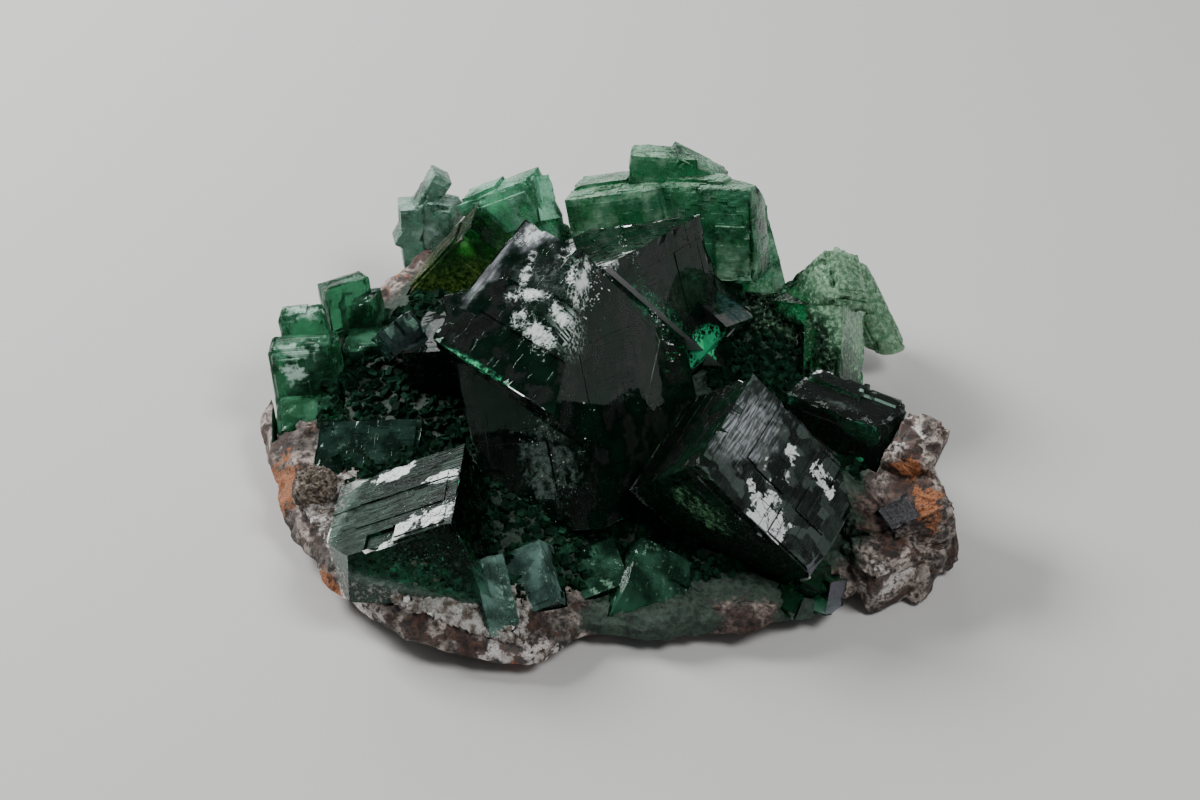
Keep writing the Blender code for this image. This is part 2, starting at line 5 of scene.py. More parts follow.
import math
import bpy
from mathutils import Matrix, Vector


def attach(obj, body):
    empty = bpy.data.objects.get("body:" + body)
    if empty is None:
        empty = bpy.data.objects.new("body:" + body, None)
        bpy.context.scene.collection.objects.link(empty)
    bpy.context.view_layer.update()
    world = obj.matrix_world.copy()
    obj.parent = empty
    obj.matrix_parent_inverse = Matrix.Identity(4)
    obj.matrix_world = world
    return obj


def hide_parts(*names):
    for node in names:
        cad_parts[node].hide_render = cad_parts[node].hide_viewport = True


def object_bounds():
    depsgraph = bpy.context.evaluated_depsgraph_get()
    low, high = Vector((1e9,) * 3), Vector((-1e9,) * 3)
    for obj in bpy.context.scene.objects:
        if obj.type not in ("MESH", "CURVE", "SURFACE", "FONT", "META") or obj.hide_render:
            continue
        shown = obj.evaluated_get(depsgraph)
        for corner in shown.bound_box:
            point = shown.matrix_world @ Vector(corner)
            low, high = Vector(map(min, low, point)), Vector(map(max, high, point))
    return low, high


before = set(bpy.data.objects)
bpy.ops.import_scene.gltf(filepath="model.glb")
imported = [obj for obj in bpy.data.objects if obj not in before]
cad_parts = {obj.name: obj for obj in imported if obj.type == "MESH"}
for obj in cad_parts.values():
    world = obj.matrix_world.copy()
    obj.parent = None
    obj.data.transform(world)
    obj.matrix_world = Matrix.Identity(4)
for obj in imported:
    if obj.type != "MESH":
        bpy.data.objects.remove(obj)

from types import SimpleNamespace

import bpy
import numpy as np
from mathutils import Euler, Vector

cad_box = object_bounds()

# The centre twin
# Two large cubes of dark green fluorite grown through each other, with smaller ones on their
# flanks: boxes with growth steps, cut along the twin's faces and united into one clear solid.

MM = 0.001
RIM = 0.12     # width of the worn strip along a crystal edge
RISER = 0.025  # width of the slope of a growth step
EDGE_REACH = 0.4   # how far from an edge its chips and its wear are felt
FACE_REACH = 0.35  # how far from a face the points are still pulled with it
SCATTER = (73856093, 19349663, 83492791)  # large primes that tell the cells of a lattice apart
STIR = 1274126177  # another that mixes their digits


def radians(turn):
    """A turn in degrees about X, Y and Z as Blender takes it."""
    return [math.radians(angle) for angle in turn]


def turned(points, turn):
    """Points turned by this many degrees about X, then Y, then Z."""
    return points @ np.array(Euler(radians(turn)).to_matrix()).T


def faced(points, way):
    """Points turned so that their +Z points this way."""
    return points @ np.array(Vector(way).to_track_quat("Z", "Y").to_matrix()).T


def wander(points, grain, seed):
    """Smooth random values from -1 to 1: fixed random values on a cubic lattice of the grain
    size, blended across each cell with 3t^2 - 2t^3 along every axis."""
    spot = np.asarray(points) / grain + 13.7 * seed
    low = np.floor(spot).astype(np.int64)
    part = spot - low
    part = part * part * (3 - 2 * part)
    total = np.zeros(spot.shape[:-1])
    for corner in np.ndindex(2, 2, 2):
        cell = (low + corner) * SCATTER
        key = cell[..., 0] ^ cell[..., 1] ^ cell[..., 2]
        key = ((key ^ (key >> 13)) * STIR) & 0x7FFFFFFF
        value = ((key >> 7) & 0xFFFF) / 32767.5 - 1
        total += value * np.where(corner, part, 1 - part).prod(axis=-1)
    return total


def mesh_of(name, points, faces, material):
    """An object at the origin from points in millimetres: points that coincide are made one,
    four-sided faces are split in two, and triangles that collapse to a line are dropped."""
    kept, index = np.unique(np.round(points, 5), axis=0, return_inverse=True)
    faces = index.reshape(-1)[faces]
    if faces.shape[1] == 4:
        faces = np.concatenate([faces[:, [0, 1, 2]], faces[:, [0, 2, 3]]])
    whole = (faces != np.roll(faces, 1, axis=1)).all(axis=1)
    mesh = bpy.data.meshes.new(name)
    mesh.from_pydata((kept * MM).tolist(), [], faces[whole].tolist())
    mesh.materials.append(material)
    piece = bpy.data.objects.new(name, mesh)
    bpy.context.scene.collection.objects.link(piece)
    return piece


def grid_faces(rows, columns):
    """The quads of a grid of points, numbered row by row."""
    low = np.arange(rows - 1)[:, None] * columns + np.arange(columns - 1)
    return np.stack([low, low + columns, low + columns + 1, low + 1], axis=-1).reshape(-1, 4)


def grid_lines(half, cell, marks, random):
    """Lines along one crystal axis: both ends, a narrow rim inside each end, and pairs of lines
    a hair apart, at random spacings and at the given marks, so that each pair can carry the
    riser of a step. Returns the lines, the cell of each line, and the cell centres."""
    widths = random.uniform(0.35, 1.65, max(3, round(2 * half / cell)))
    inner = np.cumsum(widths)[:-1] / widths.sum() * 2 * (half - RIM) - (half - RIM)
    inner = np.sort(np.concatenate([inner, marks]))
    inner = inner[np.abs(inner) < half - RIM - 2 * RISER]
    inner = inner[np.diff(inner, prepend=-half) > 3 * RISER]
    pairs = np.stack([inner - RISER / 2, inner + RISER / 2], axis=1).ravel()
    lines = np.concatenate([[-half, RIM - half], pairs, [half - RIM, half]])
    cells = np.concatenate([[0], np.repeat(np.arange(len(inner) + 1), 2), [len(inner)]])
    bounds = np.concatenate([[-half], inner, [half]])
    return lines, cells, (bounds[1:] + bounds[:-1]) / 2


def terraces(u, v, levels, rise, random):
    """Depths of flat growth terraces at the cell centres: four long cosine waves are added and
    cut into levels of equal rise, and every cell is then raised or sunk a hair of its own."""
    field = np.zeros((len(u), len(v)))
    for wave in range(4):
        along, across = random.normal(0, 0.16 + 0.07 * wave, 2)
        field += np.cos(u[:, None] * along + v * across + random.uniform(0, 6.3)) / (wave + 1)
    field = (field - field.min()) / max(np.ptp(field), 1e-6)
    return (np.floor(field * levels) - levels) * rise + random.normal(0, rise * 0.12, field.shape)


def crystal_skin(form, seed):
    """Points and faces of a crystal's box in its own axes. A face point lies at half the size
    plus the terrace depth and the ledges of its cell; points near an edge are pulled inwards
    by the wear of the edge, and by chips where smooth random values are high."""
    random = np.random.default_rng(seed)
    half = np.array(form.size) / 2
    marks = [[], [], []]
    for axis, _, u_from, u_to, v_from, v_to, _ in form.ledges:
        first, second = [k for k in range(3) if k != axis]
        marks[first] += [u_from * half[first], u_to * half[first]]
        marks[second] += [v_from * half[second], v_to * half[second]]
    lines = [grid_lines(half[k], form.cell, marks[k], random) for k in range(3)]
    points, faces, count = [], [], 0
    for axis in range(3):
        first, second = [k for k in range(3) if k != axis]
        (u, u_cell, u_mid), (v, v_cell, v_mid) = lines[first], lines[second]
        for side in (-1, 1):
            depth = terraces(u_mid, v_mid, form.levels, form.rise, random)
            for *flank, u_from, u_to, v_from, v_to, height in form.ledges:
                if flank == [axis, side]:
                    along = np.abs(u_mid / half[first] - (u_from + u_to) / 2) < abs(u_to - u_from) / 2
                    across = np.abs(v_mid / half[second] - (v_from + v_to) / 2) < abs(v_to - v_from) / 2
                    depth = depth + height * (along[:, None] & across)
            depth = depth[u_cell][:, v_cell]
            depth[[0, -1]] = 0
            depth[:, [0, -1]] = 0
            grid = np.zeros((len(u), len(v), 3))
            grid[..., axis] = side * (half[axis] + depth)
            grid[..., first] = u[:, None]
            grid[..., second] = v
            quads = grid_faces(len(u), len(v)) + count
            points.append(grid.reshape(-1, 3))
            faces.append(quads[:, ::-1] if (axis == 1) ^ (side < 0) else quads)
            count += len(u) * len(v)
    points = np.concatenate(points)
    inward = np.maximum(half - np.abs(points), 0)
    near = np.sort(inward, axis=1)[:, 1]
    rough = np.clip(wander(points, 1.3, seed) - 0.2 + 0.4 * wander(points, 0.5, seed + 1), 0, 1)
    wear = (form.chip * rough + form.worn) * np.exp(-near / (EDGE_REACH + form.worn))
    wear += 0.3 * RIM * (near < 1e-6)
    points -= np.sign(points) * wear[:, None] * np.exp(-inward / (FACE_REACH + form.worn))
    return points, np.concatenate(faces)


def combine(target, other, operation, lining="INDEX"):
    """Apply one Boolean to the target at once, and drop the other object. With the lining
    TRANSFER, the faces that the other object leaves keep its own material."""
    modifier = target.modifiers.new("combine", "BOOLEAN")
    modifier.operation = operation
    modifier.solver = "MANIFOLD"
    modifier.material_mode = lining
    modifier.object = other
    combined = target.evaluated_get(bpy.context.evaluated_depsgraph_get())
    made = bpy.data.meshes.new_from_object(combined)
    target.modifiers.clear()
    target.data = made
    bpy.data.objects.remove(other, do_unlink=True)


CORNERS = np.array(list(np.ndindex(2, 2, 2))) * 2 - 1
SIDES = np.array([(0, 1, 3, 2), (4, 6, 7, 5), (0, 4, 5, 1), (2, 3, 7, 6), (0, 2, 6, 4), (1, 5, 7, 3)])
SLAB_REACH = 80.0


def slab(point, normal):
    """A large block whose one face passes through the point, on the side the normal points to."""
    return mesh_of("slab", faced((CORNERS + (0, 0, 1)) * SLAB_REACH, normal) + point, SIDES, None)


def crystal(middle, size, turn, cuts=(), ledges=(), cell=0.9, levels=3, rise=0.05, chip=0.5, worn=0.0):
    """The dimensions of one crystal: its middle, its size, its turn in degrees, the planes
    (point, outward normal) that cut it, and its ledges (axis, side, u from, u to, v from, v to,
    height), whose shares run from -1 to 1 along the face's two axes. Then come the spacing of
    its growth lines, the number and the rise of its terraces, and the depth of chips and wear."""
    return SimpleNamespace(**locals())


GAP = 0.12  # the crystals stand this far clear of the rock round them
hollows = []


def place(piece, slot, *nodes):
    """The frame calls that every piece gets."""
    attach(piece, "root")
    if nodes:
        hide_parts(*nodes)


def grow(name, node, slot, crystals, material, bed, seed):
    """One closed solid from a group of crystals, in place of a CAD node: each is made, cut and
    united with the ones before it, and the group is cut off flat at its bed in the rock. The
    crystals are noted with their bed, for the hollows that they leave in the rock."""
    group = None
    hollows.extend((form, bed) for form in crystals)
    for index, form in enumerate(crystals):
        points, faces = crystal_skin(form, seed + index)
        single = mesh_of(name, turned(points, form.turn) + form.middle, faces, material)
        for point, normal in form.cuts:
            combine(single, slab(point, normal), "DIFFERENCE")
        if group:
            combine(group, single, "UNION")
        group = group or single
    combine(group, slab((0, 0, bed), (0, 0, -1)), "DIFFERENCE")
    group.data.name = name
    place(group, slot, node)


class Nodes:
    """Wires a material on Object coordinates in millimetres. Each method returns an output."""

    def __init__(self, name):
        self.material = bpy.data.materials.new(name)
        self.material.use_nodes = True
        self.tree = self.material.node_tree
        self.tree.nodes.clear()
        self.at = self.vector("SCALE", self.add("ShaderNodeTexCoord").outputs["Object"], Scale=1 / MM)
        self.normal = self.add("ShaderNodeNewGeometry").outputs["True Normal"]

    def fill(self, socket, value):
        """Link an output to the socket, or set the constant on it."""
        if isinstance(value, bpy.types.NodeSocket):
            self.tree.links.new(value, socket)
        else:
            socket.default_value = value

    def add(self, kind, inputs=None, **settings):
        """A node of this kind, with its settings made and its sockets filled."""
        made = self.tree.nodes.new(kind)
        for key, value in settings.items():
            setattr(made, key, value)
        for key, value in (inputs or {}).items():
            self.fill(made.inputs[key], value)
        return made

    def math(self, operation, first, second=0.0, clamp=False):
        """One sum on numbers or masks."""
        inputs = {0: first, 1: second}
        return self.add("ShaderNodeMath", inputs, operation=operation, use_clamp=clamp).outputs[0]

    def chain(self, operation, values):
        """One operation carried through several masks or numbers."""
        total = values[0]
        for value in values[1:]:
            total = self.math(operation, total, value)
        return total

    def most(self, *masks):
        """The highest of several masks."""
        return self.chain("MAXIMUM", masks)

    def both(self, *masks):
        """The product of several masks or numbers."""
        return self.chain("MULTIPLY", masks)

    def plus(self, *values):
        """The sum of several values."""
        return self.chain("ADD", values)

    def vector(self, operation, first, second=(0, 0, 0), output=0, **inputs):
        """One sum on vectors."""
        made = self.add("ShaderNodeVectorMath", {0: first, 1: second, **inputs}, operation=operation)
        return made.outputs[output]

    def along(self, vector, way):
        """How far a vector reaches this way."""
        return self.vector("DOT_PRODUCT", vector, Vector(way).normalized(), "Value")

    def mapped(self, turn, size, middle=(0, 0, 0)):
        """Object coordinates moved to a middle, turned, and measured in these sizes."""
        inputs = {"Vector": self.at, "Location": middle, "Rotation": radians(turn), "Scale": size}
        return self.add("ShaderNodeMapping", inputs, vector_type="TEXTURE").outputs[0]

    def noise(self, size, detail, at=None, rough=0.55):
        """Cloudy noise from 0 to 1 whose lumps have this size in millimetres."""
        inputs = {"Vector": at or self.at, "Scale": 1 / size, "Detail": detail, "Roughness": rough}
        return self.add("ShaderNodeTexNoise", inputs).outputs["Fac"]

    def wobble(self, size, detail, reach):
        """Noise about 0 that moves a border to and fro, this far from end to end."""
        return self.both(self.math("SUBTRACT", self.noise(size, detail), 0.5), reach)

    def ramp(self, value, low, high, start=0.0, end=1.0):
        """A smooth step from start at low to end at high."""
        inputs = {"Value": value, "From Min": low, "From Max": high, "To Min": start, "To Max": end}
        return self.add("ShaderNodeMapRange", inputs, interpolation_type="SMOOTHSTEP").outputs["Result"]

    def facing(self, way, low=0.9, high=0.96):
        """1 on faces that point this way, 0 elsewhere."""
        return self.ramp(self.along(self.normal, way), low, high)

    def beyond(self, point, way, moved, width=0.6):
        """1 on the side of a plane that the way points to, with a border that the noise moves."""
        reach = self.along(self.vector("SUBTRACT", self.at, point), way)
        return self.ramp(self.plus(reach, moved), -width, width)

    def patch(self, middle, radii, moved, soft, turn=(0, 0, 0)):
        """1 inside an ellipsoid and 0 outside it, with a border that the noise moves."""
        reach = self.vector("LENGTH", self.mapped(turn, radii, middle), output="Value")
        return self.ramp(self.plus(reach, moved), 1.0, 1.0 - soft)

    def clouds(self, shapes, moved, soft=0.8):
        """The highest of several soft patches, each given by middle, half lengths and turn."""
        return self.most(*[self.patch(*shape[:2], moved, soft, *shape[2:]) for shape in shapes])

    def torn(self, cloud, noise, lift, low=0.68, high=0.8):
        """A cloud with torn borders: the cloud lifts the noise, which is then cut off."""
        raised = self.ramp(self.plus(noise, self.both(cloud, lift)), low, high)
        return self.both(raised, self.ramp(cloud, 0.0, 0.25))

    def veins(self, size, width=0.05):
        """Bright threads where a cloudy noise passes through its middle value."""
        away = self.math("ABSOLUTE", self.math("SUBTRACT", self.noise(size, 4.0), 0.5))
        return self.ramp(away, width, 0.0)

    def cracked(self, patch, size):
        """A bright patch with dark threads left open in it."""
        return self.both(patch, self.math("SUBTRACT", 1.0, self.both(self.veins(size, 0.025), 0.8)))

    def cells(self, at, seed, scale, measure="EUCLIDEAN"):
        """A cell pattern: the distance from each cell's point, and a random value for each cell."""
        inputs = {"Vector": self.vector("ADD", at, (seed, seed, seed)), "Scale": scale}
        made = self.add("ShaderNodeTexVoronoi", inputs, distance=measure)
        pick = self.add("ShaderNodeSeparateColor", {0: made.outputs["Color"]}).outputs[0]
        return made.outputs["Distance"], pick

    def tiles(self, turn, size, seed):
        """A random value from 0 to 1 for each angular tile of a crystal's face."""
        return self.cells(self.mapped(turn, size), seed, 1.0, "CHEBYCHEV")[1]

    def specks(self, spacing, radius, share, seed=0.0):
        """Small round dots: near the points of a cell pattern, in a share of its cells."""
        distance, pick = self.cells(self.at, seed, 1 / spacing)
        near = self.ramp(distance, radius / spacing, radius / spacing * 0.5)
        return self.both(near, self.math("LESS_THAN", pick, share))

    def mix(self, share, first, second):
        """One colour at share 0, the other at share 1."""
        made = self.add("ShaderNodeMix", {0: share}, data_type="RGBA")
        for socket, value in ((made.inputs[6], first), (made.inputs[7], second)):
            self.fill(socket, (*value, 1.0) if isinstance(value, tuple) else value)
        return made.outputs[2]

    def grade(self, value, low, high, first, second):
        """The first colour where the value is low, the second where it is high."""
        return self.mix(self.ramp(value, low, high), first, second)

    def bump(self, height, depth, strength):
        """A surface normal from a height between 0 and 1 that stands for this many millimetres."""
        inputs = {"Height": height, "Distance": depth * MM, "Strength": strength}
        return self.add("ShaderNodeBump", inputs).outputs["Normal"]

    def finish(self, inputs, body=None):
        """The Principled surface, and for a clear crystal the plain absorption of its body: the
        colour that it lets through and how much of the rest it takes up."""
        out = self.add("ShaderNodeOutputMaterial")
        self.fill(out.inputs["Surface"], self.add("ShaderNodeBsdfPrincipled", inputs).outputs[0])
        if body:
            inside = self.add("ShaderNodeVolumeAbsorption", {"Color": (*body[0], 1.0), "Density": body[1]})
            self.fill(out.inputs["Volume"], inside.outputs[0])
        return self.material


FLUORITE_IOR = 1.434
CLEAR = (0.93, 1, 0.96)
FROST = (0.24, 0.31, 0.28)
DEEP = (0.035, 0.13, 0.08)
WHITE = (0.82, 0.86, 0.85)
# Painted light: the bright green of glints and glows where light comes back out of the crystals.
SPARK = (0.08, 0.8, 0.36)
GLEAM = (0.16, 0.32, 0.24, 1)  # painted shade: a dark green tint that dims the gloss of the clear crystals


def clear_fluorite(n, frost, frosting, roughness, relief, body):
    """Fluorite that lets light through except where frost rises: transmission falls from 1 to
    0 with it, and the colour goes from nearly clear to the frosting."""
    return n.finish({
        "Base Color": n.grade(frost, 0, 0.05, CLEAR, frosting),
        "Roughness": roughness,
        "IOR": FLUORITE_IOR,
        # Painted shade: the gloss is dimmed by a dark green tint.
        "Specular Tint": GLEAM,
        "Transmission Weight": n.math("SUBTRACT", 1, frost, clamp=True),
        "Normal": relief,
    }, body)


SILVER_WAY = (-0.31, -0.35, 0.88)
SMOKY_WAY = (0.81, -0.39, 0.43)
MOTTLED_WAY = (-0.55, -0.77, 0.33)
TWIN_TURN = (28, 1, -43)
FAN_TURN = (27, 8, -57)
TWIN_BODY = ((0.13, 0.66, 0.5), 560)


def twin_material():
    """Dark green and glossy. On the upper left face lie a strip of painted silvery reflection, a white
    cloud whose arms enclose a window, and rays that fan out below it; painted green glints follow
    the twin's seam and its lower left edge, a painted green glow lies near its right corner, and
    the lower left face is mottled."""
    n = Nodes("twin fluorite")
    moved = n.wobble(1.4, 5, 1.5)
    fine = n.noise(0.6, 8, rough=0.72)
    feather = n.plus(n.both(fine, 0.7), n.both(n.most(n.veins(2), n.veins(0.8)), 0.3))
    streaks = n.noise(1, 2, at=n.mapped(TWIN_TURN, (0.35, 3.5, 1)))
    rays = n.noise(1, 3, at=n.mapped(FAN_TURN, (5, 0.25, 0.25)))
    cloud = n.torn(n.clouds([
        ((-2.7, -0.6, 25.8), (5.4, 2, 1.8), (21, 19, -82)),
        ((-6.6, -1.3, 24.1), (3.6, 1.3, 1.6), (25, -14, -14))], moved, 0.95), feather, 0.68, 0.53, 1.12)
    wisps = n.torn(n.clouds([
        ((-7.5, 1.2, 24.8), (3.2, 0.9, 1.5), (11, 26, -107)),
        ((-4.4, -4.2, 23.8), (3.4, 1.3, 1.5), (25, 13, -66)),
        ((-6.4, -5.3, 22.7), (4.6, 2.2, 1.5), (28, 4, -49)),
        ((0, 2.6, 25.8), (2.8, 2.2, 2.2), (26, 11, -63)),
        ((-6.9, 5.2, 26.7), (3, 1.8, 1.5), (20, -20, 3)),
        ((2, 5.5, 24), (3, 0.5, 0.8), (0, 10, 20))], moved, 0.95), feather, 0.55, 0.54, 1.06)
    fan = n.both(n.patch((-1.9, -7.2, 23.2), (7, 3.4, 3), 0, 0.8, FAN_TURN), n.ramp(rays, 0.43, 0.6))
    # Painted reflection: a silvery grey strip on the upper left face, where it catches the light.
    silver = n.both(n.facing(SILVER_WAY), n.clouds([
        ((-11.1, 3.5, 24.5), (7.2, 1.9, 2.5), (-3, -28, 55)),
        ((-6.9, 5.2, 26.7), (4, 3, 2.5), (20, -20, 3))], moved))
    haze = n.both(n.facing(SILVER_WAY), n.patch((-5, 0, 24.8), (6.5, 6, 4), moved, 0.9))
    mottle = n.both(n.facing(MOTTLED_WAY), n.torn(
        n.patch((-5.6, -11.5, 12), (6, 7, 9.5), moved, 0.9), fine, 0.3, 0.6, 0.85))
    # Painted highlight: a bright green line of refracted light along the lower left edge.
    edge = n.both(n.patch((-12.5, -6.9, 19.5), (6.6, 1.1, 1.1), 0, 0.5, (0, 0, -42)),
                  n.ramp(fine, 0.42, 0.6))
    # Painted highlights: green glints along the twin's seam.
    seam = n.both(n.patch((5.6, 3.6, 18.2), (9, 2.4, 2.4), 0, 0.8, (0, 52, 27)),
                  n.most(n.specks(0.5, 0.14, 0.8, 3), n.ramp(fine, 0.42, 0.72, 0.04, 1)))
    # Painted glow: bright green light near the right corner, where light comes back out of the crystal.
    emerald = n.torn(n.patch((10.2, 6.2, 11.4), (3, 3, 3.6), 0, 0.9, (0, 20, 0)),
                     feather, 0.45, 0.5, 0.8)
    facet = n.patch((13, 9, 11), (0.7, 0.8, 0.9), 0, 0.2, (0, 30, 0))
    hatched = n.both(n.beyond((11.4, 9, 12), (1, 0, 0), 0), n.ramp(streaks, 0.4, 0.6, 0.3, 1),
                     n.patch((13, 11.4, 12.4), (3.4, 3, 2.8), 0, 0.3))
    step = n.both(n.patch((-21.2, 8.4, 11.7), (3.8, 3.4, 3.4), 0, 0.1), n.ramp(fine, 0.3, 0.7, 0.4, 1))
    lip = n.patch((-20.6, 6.6, 10.6), (1.9, 0.5, 0.45), 0, 0.4, (0, 0, 30))
    dust = n.most(n.specks(0.9, 0.07, 0.5), n.specks(1.7, 0.12, 0.35, 4))
    white = n.most(cloud, n.both(wisps, 0.85), facet, lip)
    # All three are painted light, in the painted glint green.
    green = n.most(edge, seam, emerald)
    frost = n.most(white, n.both(fan, 0.85), n.both(green, 0.8), n.both(mottle, 0.4), n.both(dust, 0.4),
                   n.both(silver, n.ramp(streaks, 0.35, 0.65, 0.25, 0.6)),
                   n.both(haze, n.ramp(feather, 0.35, 0.7, 0.02, 0.3)),
                   n.both(hatched, 0.8), n.both(step, 0.45),
                   n.ramp(n.noise(4, 4), 0.35, 0.7, 0.01, 0.1))
    sheen = n.both(n.most(silver, n.both(haze, 0.6)), n.ramp(streaks, 0.3, 0.7, 0.15, 0.36))
    colour = n.mix(n.most(haze, mottle, dust), DEEP, FROST)
    # The painted silvery reflection is a pale violet grey.
    colour = n.mix(n.most(white, n.both(fan, 0.6)), n.mix(silver, colour, (0.4, 0.4, 0.44)), WHITE)
    tinted = n.mix(step, (0.035, 0.085, 0.09), (0.085, 0.08, 0.1))
    colour = n.mix(green, n.mix(n.most(hatched, step), colour, tinted), SPARK)
    height = n.plus(n.both(streaks, silver), n.both(n.noise(1.2, 1), 0.1))
    return clear_fluorite(n, frost, colour, n.most(sheen, n.both(frost, 0.5), 0.03),
                          n.bump(height, 0.05, 0.4), TWIN_BODY)


SMOKY_FACE = ((-0.2, -16.7, 8), SMOKY_WAY)
SILVER_FACE = ((-5.5, -4.2, 23.4), (-0.31, -0.35, 0.89))
TWIN_SEAM = ((4.8, 3.7, 19), (-0.19, -0.88, -0.43))

grow("centre_twin_crystals", "centre_twin", "dark_fluorite", [
    crystal((-3.5, -1.9, 17.6), (19, 15, 13), TWIN_TURN, cuts=[SMOKY_FACE], cell=0.8,
            ledges=[(2, 1, -0.72, 1, -0.35, 1, 0.35), (2, 1, -0.2, 0.62, 0.3, 1, 0.75),
                    (2, 1, -0.66, -0.5, 0.05, 0.2, -0.5)]),
    crystal((-2.6, -0.3, 11.8), (13.5, 20, 24), (-22, -26, -26), cuts=[SILVER_FACE],
            ledges=[(1, -1, -0.75, 0.35, -0.9, -0.25, 0.25), (0, 1, -0.82, 0.1, -0.55, 0.45, 0.2)]),
    crystal((0.1, 5.7, 13.3), (14, 23, 18), (-16, -25, -26), cuts=[SILVER_FACE, TWIN_SEAM],
            ledges=[(0, 1, 0.45, 0.9, -0.2, 0.75, 0.08)]),
    crystal((-13.5, 7, 7.5), (10.5, 9, 11), (-8, -13, -11), ledges=[(1, -1, -0.55, 0.6, -0.7, 0.5, 0.2)]),
    crystal((-21, 8.5, 11.5), (4.5, 4, 3), (-48, -16, 39), cell=0.6,
            ledges=[(1, -1, 0.05, 1, -0.3, 1, 0.45)]),
    crystal((9.5, 11.5, 10), (6.5, 9, 8), (-29, 23, -40)),
], twin_material(), bed=3.2, seed=11)

# The right cube
# A tilted cube of the same dark fluorite, whose large face is finely striped, carries a painted
# silvery reflection and is broken into a mosaic of steps, with small crystals crowded at its
# lower corner.

RIGHT_TURN = (16, 43, -18)
RIGHT_TOP_WAY = (0.54, -0.46, 0.70)
RIGHT_UNDER_WAY = (-0.48, -0.86, -0.20)
RIGHT_CORNER_WAY = (0.72, -0.62, 0.30)
RIGHT_BODY = ((0.16, 0.64, 0.46), 720)


def right_cube_material():
    """Painted silvery reflection and fine wrinkles at its upper end, broken into tiles below, with
    bright torn patches and a painted smooth grey reflection on the corner; the flank that faces
    down is yellow-green and speckled."""
    n = Nodes("right cube fluorite")
    moved = n.wobble(0.9, 5, 1.6)
    fine = n.noise(0.5, 7, rough=0.7)
    wrinkles = n.noise(1, 3, at=n.mapped(RIGHT_TURN, (0.22, 1.8, 1)))
    tiles = n.tiles(RIGHT_TURN, (1.5, 1.3, 60), 3.3)
    top = n.both(n.facing(RIGHT_TOP_WAY), n.beyond((0, 0, 7), (0, 0, 1), 0))
    rough_cells = n.plus(n.both(fine, 0.5), n.both(tiles, 0.3))
    torn = n.both(top, n.torn(n.clouds([
        ((15, -19.8, 12.2), (4.6, 2.7, 2), (-23, 40, -74)),
        ((20.6, -13.7, 11.9), (3.2, 1.6, 1.8), (-5, 45, -48)),
        ((17.4, -13.4, 14.6), (1.5, 1.1, 1.5), (-7, 45, -51)),
        ((13.6, -17.6, 14.8), (1.5, 0.9, 1.5), (-13, 44, -59))], moved), rough_cells, 0.5, 0.6, 0.66))
    torn = n.cracked(torn, 1.4)
    speckled = n.both(top, n.torn(n.patch((16.1, -15.6, 14.2), (3.4, 2.2, 2), moved, 0.9, (11, 44, -25)),
                                  rough_cells, 0.22, 0.6, 0.7))
    # Painted reflection: a silvery sheen on the upper end of the top face, where it catches the light.
    sheen = n.both(top, n.patch((12.8, -13.4, 18), (7, 6, 4.4), moved, 0.8))
    side = n.both(n.facing(RIGHT_UNDER_WAY), n.torn(
        n.patch((8.8, -17.8, 11.6), (7, 3, 3.4), moved, 0.9, (0, 30, -25)), fine, 0.3, 0.6, 0.9))
    # Painted reflection: the cut corner face is painted an even violet grey, as the light it mirrors.
    corner = n.facing(RIGHT_CORNER_WAY)
    dust = n.most(n.specks(0.8, 0.07, 0.5, 2), n.specks(1.9, 0.12, 0.3, 7))
    frost = n.most(torn, n.both(speckled, 0.8), n.both(side, 0.6), n.both(corner, 0.3), n.both(dust, 0.4),
                   n.both(top, n.ramp(tiles, 0.3, 0.95, 0.02, 0.24)),
                   n.both(sheen, n.ramp(wrinkles, 0.33, 0.68, 0.1, 0.75)),
                   n.ramp(n.noise(2.5, 4), 0.4, 0.65, 0.01, 0.1))
    roughness = n.most(n.both(top, n.ramp(wrinkles, 0.3, 0.7, 0.16, 0.34)), n.both(corner, 0.22), 0.04)
    # The painted sheen is a pale silver grey.
    colour = n.mix(n.most(torn, speckled), n.mix(sheen, (0.26, 0.34, 0.3), (0.52, 0.56, 0.58)), WHITE)
    colour = n.mix(side, n.mix(top, (0.05, 0.17, 0.09), colour), (0.2, 0.42, 0.22))
    # The corner's painted reflection.
    colour = n.mix(corner, colour, (0.3, 0.28, 0.35))
    height = n.plus(n.both(wrinkles, top), n.both(tiles, 0.4))
    return clear_fluorite(n, frost, colour, roughness, n.bump(height, 0.045, 0.6), RIGHT_BODY)


grow("right_cube_crystals", "right_cube", "dark_fluorite", [
    crystal((13.5, -13, 10), (16, 12, 11), RIGHT_TURN, cell=0.7, levels=5, rise=0.06, chip=0.7,
            cuts=[((19, -18.6, 14.2), RIGHT_CORNER_WAY), ((22.6, -13.2, 11), (0.95, 0.1, 0.2))],
            ledges=[(2, 1, -1, -0.35, -1, 1, 0.3), (2, 1, -0.5, 0.12, -0.25, 0.9, 0.25),
                    (2, 1, 0.2, 0.9, -0.95, -0.45, 0.3), (2, 1, 0.36, 0.82, -0.3, 0.2, 0.22),
                    (1, -1, -0.85, 0.4, -0.1, 0.8, 0.2), (2, 1, 0.3, 0.62, 0.45, 1, -0.6),
                    (2, 1, 0.7, 1, 0.2, 1, -0.9)]),
    crystal((18.6, -19.4, 3.6), (3.6, 3.2, 4.6), (20, 30, 10), cell=0.5),
    crystal((20.8, -20.2, 3), (2.6, 2.6, 3.4), (-15, 25, 40), cell=0.5),
    crystal((17, -21.4, 2.8), (2.4, 2.4, 3), (10, -20, 65), cell=0.5),
], right_cube_material(), bed=1.9, seed=31)

# The left cube
# A cube with a striped, silvery top that carries torn white patches, a frosted left face with
# an oval pit, and a clear dark front in which brown and yellow grains show.

